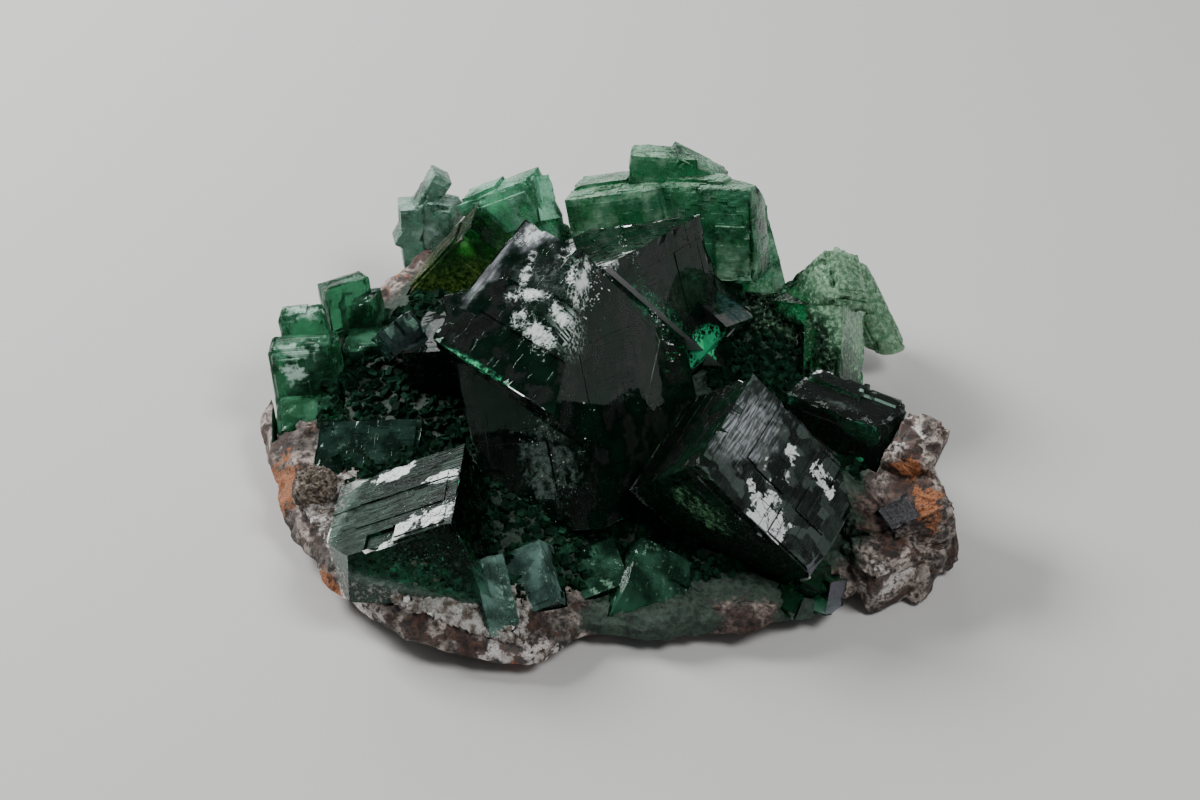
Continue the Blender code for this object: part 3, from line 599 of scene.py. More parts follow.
LEFT_TURN = (-10, -23, 1)
LEFT_TOP_WAY = (-0.39, 0.17, 0.91)
LEFT_FACE_WAY = (-0.86, -0.51, 0.09)
LEFT_BODY = ((0.14, 0.66, 0.52), 640)


def left_cube_material():
    """Fine stripes and torn white patches on the top; the left face is frosted and the front
    dark and clear, with brown and yellow grains in it."""
    n = Nodes("left cube fluorite")
    moved = n.wobble(0.8, 5, 1.6)
    fine = n.noise(0.45, 7, rough=0.7)
    stripes = n.noise(1, 3, at=n.mapped(LEFT_TURN, (2.2, 0.13, 1)))
    tiles = n.tiles(LEFT_TURN, (1.3, 1, 60), 1.7)
    top = n.facing(LEFT_TOP_WAY)
    rough_cells = n.plus(n.both(fine, 0.5), n.both(tiles, 0.3))
    torn = n.both(top, n.torn(n.clouds([
        ((-20.1, -10.2, 9.4), (3.4, 2.1, 1.8), (-20, -15, 30)),
        ((-24.4, -10, 7.4), (2, 1.3, 1.6), (-13, -21, 9)),
        ((-15.2, -13.9, 12.2), (2.6, 1.2, 1.6), (-12, -22, 7)),
        ((-19.3, -21, 11.9), (4, 1.5, 1.7), (-22, -12, 39)),
        ((-15.9, -20, 13.2), (3.4, 2.2, 1.8), (-15, -20, 16))], moved), rough_cells, 0.5, 0.6, 0.66))
    torn = n.cracked(torn, 0.8)
    left = n.both(n.facing(LEFT_FACE_WAY), n.ramp(fine, 0.35, 0.6, 0.3, 0.8))
    foot = n.both(n.beyond((-18, -22.5, 6.4), (-0.25, 0, -1), moved, 0.8),
                  n.ramp(fine, 0.3, 0.5, 0.5, 1))
    grains = n.both(n.patch((-16.5, -23, 8.6), (4.5, 1.5, 2.4), moved, 0.9), n.specks(1, 0.3, 0.6, 5))
    dust = n.most(n.specks(0.8, 0.07, 0.4, 3), n.specks(1.7, 0.12, 0.25, 9))
    bands = n.both(top, n.ramp(stripes, 0.35, 0.75, 0.02, 0.24), n.ramp(n.noise(3.5, 3), 0.38, 0.6, 0.25, 1))
    frost = n.most(torn, bands, n.both(left, 0.7), foot, n.both(grains, 0.7), n.both(dust, 0.4))
    roughness = n.most(n.both(top, n.ramp(stripes, 0.3, 0.7, 0.15, 0.32)), n.both(left, 0.4), 0.04)
    colour = n.mix(torn, n.mix(left, (0.26, 0.4, 0.33), (0.1, 0.13, 0.13)), WHITE)
    colour = n.mix(foot, colour, n.grade(fine, 0.45, 0.65, (0.012, 0.018, 0.014), (0.3, 0.3, 0.28)))
    colour = n.mix(grains, colour, (0.3, 0.16, 0.04))
    height = n.plus(n.both(stripes, top), n.both(tiles, 0.3))
    return clear_fluorite(n, frost, colour, roughness, n.bump(height, 0.02, 0.3), LEFT_BODY)


grow("left_cube_crystal", "left_cube", "dark_fluorite", [
    crystal((-18, -16.5, 6), (13.5, 13.5, 10), LEFT_TURN, cell=0.65, levels=4, chip=0.6,
            cuts=[((-23.3, -23.1, 11.2), LEFT_FACE_WAY)],
            ledges=[(2, 1, -1, 1, 0.2, 1, 0.14), (2, 1, -0.55, 0.8, -0.35, 0.35, 0.12),
                    (2, 1, 0.05, 0.85, -0.9, -0.5, 0.14), (1, -1, -0.3, 0.6, 0.3, 0.9, 0.12),
                    (2, 1, -0.35, 0.1, -1, -0.6, -0.4), (1, -1, 0.2, 0.5, -0.2, 0.1, -0.3)]),
], left_cube_material(), bed=4.7, seed=51)

# The small crystals in front
# Two pale prisms beside the left cube, a low wedge with a dark cube beside it, and the hazy
# crystal that lies behind the left cube.


def small_green_material(name, body, milk, tint, glow):
    """Green fluorite with mottled haze: milk is the share of the body that the haze hides."""
    n = Nodes(name)
    fine = n.noise(0.7, 7, rough=0.7)
    cloud = n.ramp(n.noise(2.4, 4), 0.4, 0.68, milk * 0.3, min(1, milk * 1.2))
    mottle = n.ramp(n.plus(fine, n.both(n.noise(3.1, 2), 0.35)), 0.74, 0.84)
    dust = n.most(n.specks(0.7, 0.07, 0.5, 5), n.specks(1.5, 0.13, 0.3, 1))
    frost = n.most(cloud, n.both(mottle, 0.6), n.both(dust, 0.5))
    return clear_fluorite(n, frost, n.mix(mottle, tint, glow), n.ramp(fine, 0.35, 0.65, 0.03, 0.15),
                          n.bump(n.noise(0.6, 2), 0.06, 0.5), body)


prism_material = small_green_material(
    "prism fluorite", ((0.35, 0.78, 0.64), 400), 0.46, (0.22, 0.4, 0.34), (0.34, 0.54, 0.46))
wedge_material = small_green_material(
    "wedge fluorite", ((0.2, 0.7, 0.52), 520), 0.3, (0.09, 0.26, 0.16), (0.24, 0.44, 0.31))
hazy_material = small_green_material(
    "hazy fluorite", ((0.15, 0.6, 0.5), 900), 0.4, (0.03, 0.075, 0.055), (0.07, 0.135, 0.1))

grow("front_left_prism_crystal", "front_left_prism", "green_fluorite", [
    crystal((-10.7, -22.2, 4.6), (3.1, 7.4, 4), (42, 2, 21), cell=0.5),
], prism_material, bed=1.4, seed=61)

grow("front_prism_crystal", "front_prism", "green_fluorite", [
    crystal((-6.7, -19.7, 3.9), (4.7, 6.5, 4), (31, -29, 2), cell=0.5,
            ledges=[(2, 1, -0.4, 0.7, -0.8, 0.1, 0.2)]),
], prism_material, bed=1.5, seed=64)

grow("front_wedge_crystals", "front_wedge", "dark_fluorite", [
    crystal((5, -19.5, 0.5), (10.5, 8.5, 8), (27, 30, -3), cell=0.6,
            cuts=[((7.7, -22.6, 2.7), (0.08, -0.88, 0.46))],
            ledges=[(2, 1, -0.2, 0.9, 0.35, 0.95, 0.25)]),
    crystal((-0.6, -17.6, 2.4), (5.5, 5, 5), (20, -18, 12), cell=0.6),
], wedge_material, bed=1.6, seed=67)

grow("low_left_crystal_block", "low_left_crystal", "green_fluorite", [
    crystal((-23.4, -3.2, 4.9), (10.5, 7, 4.2), (14, -6, -6), cell=0.7,
            ledges=[(2, 1, -0.3, 0.9, -0.6, 0.7, 0.25)]),
], hazy_material, bed=2.8, seed=71)

# The left edge
# Blunt green cubes with white rims, weathered at their corners, and the upright crystal behind
# them whose clear side glows yellow-green.

EDGE_BODY = ((0.28, 0.78, 0.58), 400)


def edge_material():
    """Dark green with mottled haze, mint-white on the highest top and the outer rim, and with
    one painted bright glint; the foot of the outer crystals holds brown grains."""
    n = Nodes("edge fluorite")
    moved = n.wobble(1.1, 5, 2)
    fine = n.noise(0.7, 7, rough=0.7)
    haze = n.ramp(n.noise(2.4, 4), 0.4, 0.66, 0.1, 0.5)
    mint = n.torn(n.clouds([
        ((-33, 14, 10.6), (3.4, 2.6, 2.4)),
        ((-31, 12, 12), (3.4, 2.6, 1.2)),
        ((-35, 6, 6), (1.2, 7, 7)),
        ((-31.5, 6.6, 10.8), (3, 2, 1.2))], moved), fine, 0.5, 0.55, 1.05)
    # Painted highlight: one bright green-white glint on the front of an outer crystal.
    glint = n.torn(n.patch((-31.4, 5.2, 8.8), (2.4, 1.8, 2.2), moved, 0.9), fine, 0.45, 0.62, 0.95)
    grains = n.both(n.patch((-31, 1, 5), (5, 5, 4), 0, 0.6), n.specks(1, 0.26, 0.5, 5))
    dust = n.specks(0.8, 0.08, 0.5, 2)
    frost = n.most(haze, n.both(mint, 0.8), glint, grains, n.both(dust, 0.5))
    colour = n.mix(mint, n.mix(dust, (0.09, 0.28, 0.16), (0.34, 0.54, 0.42)), (0.42, 0.66, 0.53))
    colour = n.mix(grains, n.mix(glint, colour, (0.62, 0.86, 0.74)), (0.1, 0.06, 0.02))
    return clear_fluorite(n, frost, colour, n.ramp(fine, 0.35, 0.65, 0.04, 0.16),
                          n.bump(n.noise(0.6, 2), 0.07, 0.6), EDGE_BODY)


grow("left_edge_crystals", "left_edge_cubes", "green_fluorite", [
    crystal((-31, 12, 8.5), (5.5, 3.5, 7), (-11, -10, 1), cell=0.4, chip=1.3, worn=0.6,
            ledges=[(2, 1, -0.8, 0.3, -0.7, 0.8, 0.25)]),
    crystal((-30.5, 7.5, 5.5), (8, 4.5, 12), (-8, -4, 1), cell=0.4, chip=1.6, worn=0.8,
            cuts=[((-26.2, 6.5, 10.6), (0.62, -0.2, 0.75))],
            ledges=[(1, -1, -0.7, 0.1, -0.1, 0.8, 0.25)]),
    crystal((-25.5, 15, 7.5), (5.5, 4, 8), (-10, -13, -11), cell=0.4, chip=1.0, worn=0.4),
    crystal((-27, 15.5, 9.5), (5.5, 3, 7), (-15, 1, 30), cell=0.45, chip=0.9, worn=0.3),
    crystal((-24, 11, 4.8), (5.5, 5, 9), (-8, -8, -2), cell=0.5, chip=0.8, worn=0.3),
    crystal((-30, 3.4, 4), (7.4, 5.6, 6.4), (24, -5, 4), cell=0.4, chip=1.6, worn=0.9),
], edge_material(), bed=2.7, seed=81)

HEART_TURN = (-13, 38, -14)
HEART_BODY = ((0.42, 0.78, 0.42), 360)


def yellow_heart_material():
    """Green above, yellow-green in its lower heart, with a pale pinkish strip down its left."""
    n = Nodes("yellow heart fluorite")
    fine = n.noise(0.5, 5, rough=0.65)
    heart = n.beyond((-16, 19, 12), (0.2, -0.3, -1), n.both(n.noise(1.5, 4), 2), 2.5)
    glow = n.grade(fine, 0.35, 0.65, (0.05, 0.15, 0.03), (0.2, 0.36, 0.07))
    streaks = n.noise(1, 3, at=n.mapped(HEART_TURN, (0.5, 0.6, 3)))
    strip = n.both(n.facing((-0.76, 0.19, 0.62), 0.8, 0.9), n.ramp(streaks, 0.35, 0.65))
    frost = n.most(n.both(strip, 0.3), n.both(heart, n.ramp(fine, 0.3, 0.6, 0.12, 0.5)),
                   n.both(n.specks(0.8, 0.09, 0.5, 6), 0.6))
    colour = n.mix(strip, n.mix(heart, (0.06, 0.24, 0.1), glow), (0.3, 0.24, 0.21))
    return clear_fluorite(n, frost, colour, n.ramp(fine, 0.3, 0.75, 0.14, 0.35),
                          n.bump(n.noise(0.6, 2), 0.05, 0.5), HEART_BODY)


grow("upper_left_crystal_block", "upper_left_crystal", "green_fluorite", [
    crystal((-17.5, 22, 8), (5, 7, 17.5), HEART_TURN, cell=0.7,
            ledges=[(1, -1, -0.6, 0.7, -0.2, 0.6, 0.25), (0, -1, -0.7, 0.5, -0.3, 0.7, 0.3)]),
], yellow_heart_material(), bed=2.9, seed=91)

# The milky crystals behind
# Mint and pale grey-green groups behind the yellow-hearted crystal, frosted all over.


def milky_material(name, body, milk, cover, cap):
    """Milky fluorite: a cloudy cover with a whiter cap of frosting on what faces up."""
    n = Nodes(name)
    fine = n.noise(0.45, 6, rough=0.7)
    cloud = n.ramp(n.noise(2.6, 4), 0.36, 0.64, milk * 0.25, min(1, milk * 1.5))
    grains = n.plus(n.both(fine, 0.6), n.both(n.noise(2, 3), 0.4))
    sugar = n.torn(n.facing((0, -0.1, 1), 0.3, 0.95), grains, 0.16, 0.5, 0.76)
    dust = n.both(n.specks(0.8, 0.1, 0.5, 8), 0.7)
    pale = n.most(sugar, dust, n.ramp(n.noise(3.6, 4), 0.46, 0.62, 0, 0.75))
    return clear_fluorite(n, n.most(cloud, n.both(sugar, 0.8), dust), n.mix(pale, cover, cap),
                          n.ramp(fine, 0.35, 0.65, 0.1, 0.35), n.bump(n.noise(0.5, 3), 0.09, 0.7), body)


mint_material = milky_material(
    "mint fluorite", ((0.42, 0.86, 0.66), 340), 0.6, (0.12, 0.42, 0.24), (0.3, 0.6, 0.43))
pale_material = milky_material(
    "pale fluorite", ((0.45, 0.78, 0.64), 360), 0.6, (0.12, 0.24, 0.18), (0.34, 0.5, 0.42))

grow("mint_crystals", "mint_cubes", "pale_fluorite", [
    crystal((-9, 25.5, 12), (9.5, 4, 12), (-10, -30, -13), cell=0.55, chip=1.2, worn=0.2,
            ledges=[(1, -1, -0.5, 0.8, 0.2, 0.8, 0.3), (2, 1, -0.8, 0.1, -0.7, 0.7, 0.4)]),
    crystal((-7.5, 27.5, 14), (2.2, 5, 9), (43, 2, 20), cell=0.5),
], mint_material, bed=4.5, seed=101)

grow("pale_crystals", "pale_cubes", "pale_fluorite", [
    crystal((-20, 30, 12), (2.6, 3.6, 9.6), (-13, 32, 4), cell=0.45, chip=1.2, worn=0.25),
    crystal((-21, 29.7, 9), (3.2, 4.5, 7.5), (-13, 0, 8), cell=0.45, chip=1.2, worn=0.25,
            ledges=[(1, -1, 0.2, 0.8, -0.1, 0.4, -0.6)]),
    crystal((-17.6, 28.6, 9.3), (3.6, 4, 9), (-13, -5, -25), cell=0.45, chip=1.2, worn=0.25),
], pale_material, bed=4.5, seed=106)

# The back row
# Frosted green blocks along the back: clear green fronts with pale patches under a frosted top
# that slopes down to the right.

back_material = milky_material(
    "back fluorite", ((0.26, 0.76, 0.56), 520), 0.55, (0.045, 0.2, 0.1), (0.28, 0.48, 0.33))
BACK_SLOPE = ((12, 24.2, 21.3), (0.5, 0.62, 0.47))

grow("back_row_crystals", "back_row", "green_fluorite", [
    crystal((2.5, 24.5, 12.5), (11, 9, 12), (-19, -14, -8), cell=0.6, chip=1.5, worn=0.35, rise=0.09,
            ledges=[(2, 1, -0.9, 0.2, -0.2, 0.9, 0.35), (1, -1, -1, 0.1, -1, 0.35, 0.2)]),
    crystal((11.5, 22.2, 15), (11, 6, 11), (-18, -10, -20), cell=0.5, chip=1.8, worn=0.45, rise=0.1,
            cuts=[BACK_SLOPE],
            ledges=[(1, -1, 0.2, 1, -1, 0.2, 0.35), (2, 1, -0.9, 0.3, -0.5, 0.6, 0.35)]),
    crystal((6, 25.8, 15.2), (7.5, 4.5, 13), (-14, 1, -6), cell=0.55, chip=1.3, worn=0.2,
            cuts=[BACK_SLOPE]),
    crystal((8.2, 26.3, 16.3), (7, 5, 9), (-10, 31, 0), cell=0.55, chip=1.3, worn=0.2),
    crystal((14.5, 24.2, 9), (7, 8, 9), (-43, -3, 18), cell=0.6, chip=1.3, worn=0.3,
            ledges=[(2, 1, 0.3, 0.95, 0.1, 0.9, 0.5), (2, 1, -0.1, 0.5, -0.5, 0.1, -0.5)]),
], back_material, bed=3.6, seed=111)

# The right edge
# A pale milky crystal with darker blocks before it, and the dark block with a chipped white
# edge between it and the right cube.

RIGHT_PALE_BODY = ((0.22, 0.74, 0.54), 560)
RIGHT_DARK_BODY = ((0.13, 0.64, 0.48), 620)


def right_pale_material():
    """Sugary and milky at the outer end, clear and dark towards the middle of the cluster."""
    n = Nodes("right pale fluorite")
    moved = n.wobble(2, 5, 5)
    fine = n.noise(0.5, 7, rough=0.7)
    outer = n.beyond((23.6, 13, 9), (0.75, 0.2, 0.5), moved, 1.6)
    sugar = n.torn(outer, fine, 0.2, 0.5, 0.8)
    patches = n.ramp(n.plus(fine, n.both(n.noise(3, 2), 0.3)), 0.6, 0.9)
    rust = n.both(n.patch((29.5, 15, 4.5), (3.5, 4, 3.5), moved, 0.9), n.ramp(fine, 0.5, 0.62))
    dust = n.most(n.specks(0.8, 0.1, 0.5, 8), n.specks(1.8, 0.2, 0.3, 3))
    frost = n.most(n.both(outer, 0.45), n.both(sugar, 0.75), n.both(patches, 0.5), n.both(dust, 0.7),
                   n.both(rust, 0.6))
    colour = n.mix(n.most(sugar, dust, patches), (0.13, 0.35, 0.19), (0.32, 0.52, 0.34))
    return clear_fluorite(n, frost, n.mix(rust, colour, (0.2, 0.13, 0.06)),
                          n.ramp(fine, 0.35, 0.65, 0.08, 0.3), n.bump(n.noise(0.5, 3), 0.1, 0.7),
                          RIGHT_PALE_BODY)


grow("right_pale_crystals", "right_pale_crystal", "pale_fluorite", [
    crystal((22.5, 15.5, 11), (6, 7.5, 11), (28, 22, 21), cell=0.4, chip=1.8, worn=1.1, rise=0.08,
            ledges=[(2, 1, -0.6, 0.9, -0.5, 0.8, 0.2)]),
    crystal((27.3, 19.6, 6.6), (4.6, 9, 13.5), (-20, -20, 26), cell=0.4, chip=1.8, worn=1.0, rise=0.08,
            cuts=[((30.6, 11.6, 3.6), (0.35, -0.75, -0.56))]),
    crystal((23.5, 9, 7), (4.2, 12, 6.2), (48, -18, -23), cell=0.6,
            ledges=[(2, 1, -0.5, 0.7, -0.6, 0.3, 0.3)]),
    crystal((21.6, 14.8, 6.5), (4.5, 6, 10), (-8, -16, -33), cell=0.7),
    crystal((17.6, 15.2, 5.2), (6.5, 8, 7.5), (28, -4, -12), cell=0.6,
            ledges=[(2, 1, -0.7, 0.4, -0.8, 0.5, 0.25)]),
], right_pale_material(), bed=3.7, seed=121)


def right_dark_material():
    """Dark and clear, white and chipped along its upper edge, with a painted grey reflection near
    its top and a painted green glint low down.
    """
    n = Nodes("right dark fluorite")
    moved = n.wobble(0.9, 5, 1.6)
    fine = n.noise(0.5, 7, rough=0.7)
    chipped = n.torn(n.clouds([
        ((24.2, 1.2, 12), (5.5, 1.2, 1), (0, 0, -35)),
        ((20.5, 1.5, 12), (2.6, 1, 1), (0, 0, 10))], moved), fine, 0.3)
    # Painted reflection: a grey gleam near the top.
    gleam = n.patch((22.6, -3.4, 11.6), (3.5, 1.2, 1.2), moved, 0.8, (0, 0, -35))
    # Painted highlight: a green glint low down.
    spark = n.torn(n.patch((24.7, -7.2, 8.2), (1, 1, 2), moved, 0.9), fine, 0.3)
    dust = n.specks(0.8, 0.08, 0.5, 2)
    frost = n.most(chipped, n.both(spark, 0.8), n.both(gleam, n.ramp(fine, 0.4, 0.6, 0.1, 0.4)),
                   n.both(dust, 0.5), 0.01)
    colour = n.mix(spark, n.mix(chipped, FROST, WHITE), SPARK)
    return clear_fluorite(n, frost, colour, n.most(n.both(frost, 0.5), 0.05),
                          n.bump(n.noise(0.8, 1), 0.05, 0.5), RIGHT_DARK_BODY)


grow("right_dark_crystal_block", "right_dark_crystal", "dark_fluorite", [
    crystal((23.5, -3, 8), (11, 5.6, 8.8), (-6, -3, -35), cell=0.5, chip=1.2, worn=0.1,
            ledges=[(2, 1, -0.85, 0.2, 0.25, 1, 0.45), (2, 1, 0.1, 0.85, 0.5, 1, 0.3),
                    (1, -1, -0.6, 0.5, -0.3, 0.7, 0.2)]),
], right_dark_material(), bed=3.8, seed=131)

# Inner cracks
# Cleavage cracks inside the crystals throw light back as white veils and green sparks. They
# are thin plates, each a flat double pyramid, scattered just under the faces they show through.

PLATE_THICKNESS = 0.02


def plates(name, clouds, material, seed):
    """Thin double pyramids. A cloud is (middle, facing, half its length along the face and across,
    depth, plate size, number, lean): each plate lies just under the face and leans a little."""
    random = np.random.default_rng(seed)
    tips = np.array([(1, 0, 0), (0, 1, 0), (-1, 0, 0), (0, -1, 0), (0, 0, 1), (0, 0, -1)])
    sides = np.array([(0, 1, 4), (1, 2, 4), (2, 3, 4), (3, 0, 4), (1, 0, 5), (2, 1, 5), (3, 2, 5), (0, 3, 5)])
    points = []
    for middle, way, length, width, depth, size, number, lean in clouds:
        spots = np.clip(random.normal(0, 0.45, (number, 3)), -0.9, 0.9) * (length, width, 0)
        spots[:, 2] = -random.uniform(0.15, 1, number) * depth
        spins = random.uniform(0, 2 * math.pi, number)[:, None]
        leans = random.normal(0, lean, (number, 2))
        scale = size * random.uniform(0.35, 1, number)
        x = tips[:, 0] * scale[:, None]
        y = tips[:, 1] * (scale * random.uniform(0.4, 1, number))[:, None]
        x, y = x * np.cos(spins) - y * np.sin(spins), x * np.sin(spins) + y * np.cos(spins)
        z = tips[:, 2] * PLATE_THICKNESS + x * leans[:, :1] + y * leans[:, 1:]
        points.append((faced(np.stack([x, y, z], -1) + spots[:, None], way) + middle).reshape(-1, 3))
    points = np.concatenate(points)
    faces = sides + np.arange(0, len(points), len(tips))[:, None, None]
    return mesh_of(name, points, faces.reshape(-1, 3), material)


def veil_material():
    """White to pale green, satin: air in a crack."""
    n = Nodes("crack glint")
    colour = n.mix(n.noise(0.6, 3), (0.75, 0.85, 0.8), (0.9, 0.95, 0.92))
    return n.finish({"Base Color": colour, "Roughness": 0.3, "IOR": FLUORITE_IOR})


veils = plates("inner_cracks", [
    ((-3.6, -1.6, 24.9), SILVER_WAY, 3.2, 4.2, 1.2, 0.12, 400, 0.5),
    ((4.5, 4.2, 19.5), SMOKY_WAY, 0.8, 8, 1, 0.12, 200, 0.5),
    ((-5.6, -11.5, 12.5), MOTTLED_WAY, 4, 7, 1.4, 0.1, 400, 0.6),
    ((8.5, -17.2, 11), RIGHT_UNDER_WAY, 5, 2.2, 1.2, 0.12, 200, 0.6),
    ((-17, -22.5, 8.5), (0, -1, 0.16), 5, 2.6, 1.6, 0.12, 150, 0.8),
], veil_material(), seed=5)
place(veils, "pale_fluorite")

# The rock
# A thin plate of pale, pinkish quartz and feldspar with a rust-stained broken rim. It is a
# lump swept round its outline, with broken blocks united to it at its right end.

PLATE_MIDDLE = (0, 3, 0)
PLATE_TOP = 7.5
BLOCK_GROWTH = 1.02  # makes up for what a block loses where it is rounded
BROKEN_RIM = np.array([  # direction in degrees, radius, height of the top edge
    (-180, 35, 6.5), (-165, 33.7, 5.5), (-150, 33.7, 5), (-135, 34.4, 5.2), (-120, 34, 5),
    (-105, 31.9, 3.6), (-92, 27.4, 3.2), (-75, 28.6, 3.6), (-60, 31, 4.8), (-50, 31.5, 4),
    (-42, 32.5, 4.2), (-36, 35, 5), (-28, 35, 6.5), (-20, 32.5, 7.5), (-10, 30, 7.5), (0, 27.5, 7),
    (15, 26.5, 6.5), (30, 28.5, 7), (45, 27.5, 8), (60, 26.5, 8.5), (75, 26, 9), (90, 26, 9),
    (105, 27.5, 8.5), (120, 30.5, 8.5), (132, 31.5, 9.5), (150, 31, 8.5), (165, 33, 7.5), (180, 35, 6.5),
])
RINGS = np.array([  # share of the radius, of the rim's height, of the top's height, roughness
    (0, 0, 0, 0), (0.78, 0, 0, 0), (0.89, 0, 0, 0), (0.96, 0.22, 0, 0.8),
    (1.00, 0.5, 0, 1), (0.99, 0.78, 0, 1), (0.95, 1, 0, 1), (0.86, 1, 0.03, 1),
    (0.74, 0.85, 0.22, 1), (0.55, 0.5, 0.6, 0.8), (0.30, 0, 1, 0.6), (0, 0, 1, 0.4),
])


def round_the_rim(degrees, column):
    """A value of the rim in a direction, eased with a cosine between the directions beside it."""
    angles, values = BROKEN_RIM[:, 0], BROKEN_RIM[:, column]
    spot = (degrees + 180) % 360 - 180
    k = np.clip(np.searchsorted(angles, spot, "right") - 1, 0, len(angles) - 2)
    share = (1 - np.cos(np.pi * (spot - angles[k]) / (angles[k + 1] - angles[k]))) / 2
    return values[k] * (1 - share) + values[k + 1] * share


def plate_surface(degrees, step):
    """The plate's skin at a direction and a step through the rings, before it is broken up."""
    share, rim, top, rough = [np.interp(step, np.arange(len(RINGS)), column) for column in RINGS.T]
    reach = round_the_rim(degrees, 1) * share
    height = round_the_rim(degrees, 2) * rim + PLATE_TOP * top
    way = np.radians(degrees)
    return np.stack([np.cos(way) * reach, np.sin(way) * reach, height], -1) + PLATE_MIDDLE, rough


def break_up(points, rough):
    """Lumps of three sizes along all three axes, scaled by the roughness, kept off the floor."""
    for grain, depth in ((3.2, 0.55), (1.1, 0.26), (0.42, 0.1)):
        push = np.stack([wander(points, grain, seed) for seed in (1, 2, 3)], -1)
        points = points + push * (rough * depth)[..., None]
    points[..., 2] = np.maximum(points[..., 2], 0)
    return points


def rock_material():
    """Pale grains with grey and brown between them, dark specks, rust in several places and
    along the broken rim, and a dark green crust where crystals crowd the middle, darkened
    as painted shade between them."""
    n = Nodes("matrix rock")
    grains = n.noise(0.6, 7, rough=0.72)
    fine = n.noise(0.2, 4, rough=0.7)
    moved = n.wobble(1.8, 6, 1.8)
    pale = n.grade(grains, 0.38, 0.58, (0.045, 0.024, 0.016), (0.52, 0.44, 0.39))
    grey = n.grade(grains, 0.4, 0.65, (0.012, 0.009, 0.007), (0.2, 0.165, 0.145))
    colour = n.grade(n.noise(3, 5), 0.42, 0.56, pale, grey)
    white = n.torn(n.clouds([
        ((31.5, -9, 4.5), (2.6, 8, 6.5), (0, 0, -10)),
        ((26.5, -19, 4), (3, 2.2, 2.6)),
        ((28.5, -7, 11.5), (2.6, 4, 2.5)),
        ((-24.5, -22, 2.5), (7, 5, 2.5), (0, 0, -40)),
        ((-8, -27, 2), (5, 3, 2))], moved), grains, 0.3, 0.55, 0.7)
    colour = n.mix(white, colour, n.grade(fine, 0.3, 0.6, (0.34, 0.3, 0.28), (0.8, 0.76, 0.73)))
    colour = n.mix(n.torn(n.ramp(fine, 0.5, 0.8), grains, 0.3, 0.62, 0.72), colour, (0.04, 0.032, 0.028))
    brown = n.most(n.clouds([
        ((13, -22.5, 2.5), (9, 5, 3.5), (0, 0, 15)),
        ((28.5, -11.4, 9.2), (3.4, 5.5, 2.4)),
        ((26, -13.6, 7.4), (5.4, 5.2, 4.6))], moved), n.ramp(n.noise(2.3, 5), 0.49, 0.56))
    stain = n.grade(grains, 0.4, 0.65, (0.006, 0.003, 0.002), (0.1, 0.038, 0.022))
    colour = n.mix(n.both(brown, 0.9), colour, stain)
    rust = n.torn(n.clouds([
        ((-32.5, -6.3, 4), (3.5, 5.5, 4.5)),
        ((-27, -19, 2), (4, 3.5, 2.5)),
        ((-9, -26, 1), (3.5, 2.5, 1.6)),
        ((30.3, -14.2, 8), (2.6, 2.8, 3.2)),
        ((29, -11, 10.6), (2.8, 1.3, 1.6)),
        ((-23.3, 22.5, 10.5), (3.5, 3.5, 3.5)),
        ((0, 29, 4), (9, 3, 3)),
        ((27, 3, 3), (3, 6, 3))], moved), grains, 0.3, 0.6, 0.7)
    colour = n.mix(rust, colour, n.grade(fine, 0.3, 0.7, (0.13, 0.04, 0.015), (0.5, 0.19, 0.07)))
    # Painted shade: the middle, where crystals crowd, is darkened to a nearly black green crust.
    middle = n.most(
        n.patch((1, 4, 6), (31, 25.5, 30), n.both(moved, 0.1), 0.06),
        n.patch((9, -15.5, 6.5), (17, 9.5, 4.6), n.both(moved, 0.25), 0.15),
        n.patch((-19, -16, 4), (8, 7, 4), n.both(moved, 0.3), 0.2),
        n.patch((4, -24, 3), (7.5, 6, 2.6), n.both(moved, 0.3), 0.2),
        n.patch((19, -21.5, 2.5), (4.5, 4.5, 3), n.both(moved, 0.3), 0.2))
    crust = n.grade(grains, 0.4, 0.62, (0.008, 0.02, 0.012), (0.04, 0.075, 0.05))
    height = n.plus(n.both(n.cells(n.at, 0, 1.3)[0], 0.5), grains, n.both(fine, 0.5))
    return n.finish({
        "Base Color": n.mix(middle, colour, crust),
        "Roughness": n.ramp(grains, 0.3, 0.7, 0.4, 0.85),
        "Normal": n.bump(height, 0.2, 0.9),
    })


def lump(name, middle, radii, turn, square, rough, grain, seed, material, around=90, along=60):
    """A rounded block: a sphere in two angles whose sines and cosines are raised to a power
    that squares it up, scaled, roughened with three grains of wander, turned and placed."""
    u = np.linspace(0, 2 * math.pi, around + 1)
    v = np.linspace(-math.pi / 2, math.pi / 2, along)[:, None]

    def squared(wave):
        return np.sign(wave) * np.abs(wave) ** square

    flat = squared(np.cos(v))
    points = np.stack([flat * squared(np.cos(u)), flat * squared(np.sin(u)), squared(np.sin(v)) + 0 * u], -1)
    points[:, -1] = points[:, 0]
    points[0], points[-1] = points[0, 0], points[-1, 0]
    points = points * radii
    push = sum(share * wander(points, grain * size, seed + k)
               for k, (share, size) in enumerate(((1, 1), (0.5, 0.4), (0.25, 0.15))))
    points *= 1 + (rough * push / np.linalg.norm(radii) * 1.7)[..., None]
    points = (turned(points, turn) + middle).reshape(-1, 3)
    return mesh_of(name, points, grid_faces(along, around + 1)[:, ::-1], material)


def lining_material():
    """The nearly black green crust that the crystals grew out of, darkened as painted shade in
    the hollows under them.
    """
    n = Nodes("dark crust")
    grains = n.noise(0.6, 5, rough=0.7)
    return n.finish({
        "Base Color": n.grade(grains, 0.45, 0.7, (0.02, 0.07, 0.04), (0.1, 0.26, 0.16)),
        "Roughness": 0.5,
        "Normal": n.bump(grains, 0.15, 0.8),
    })


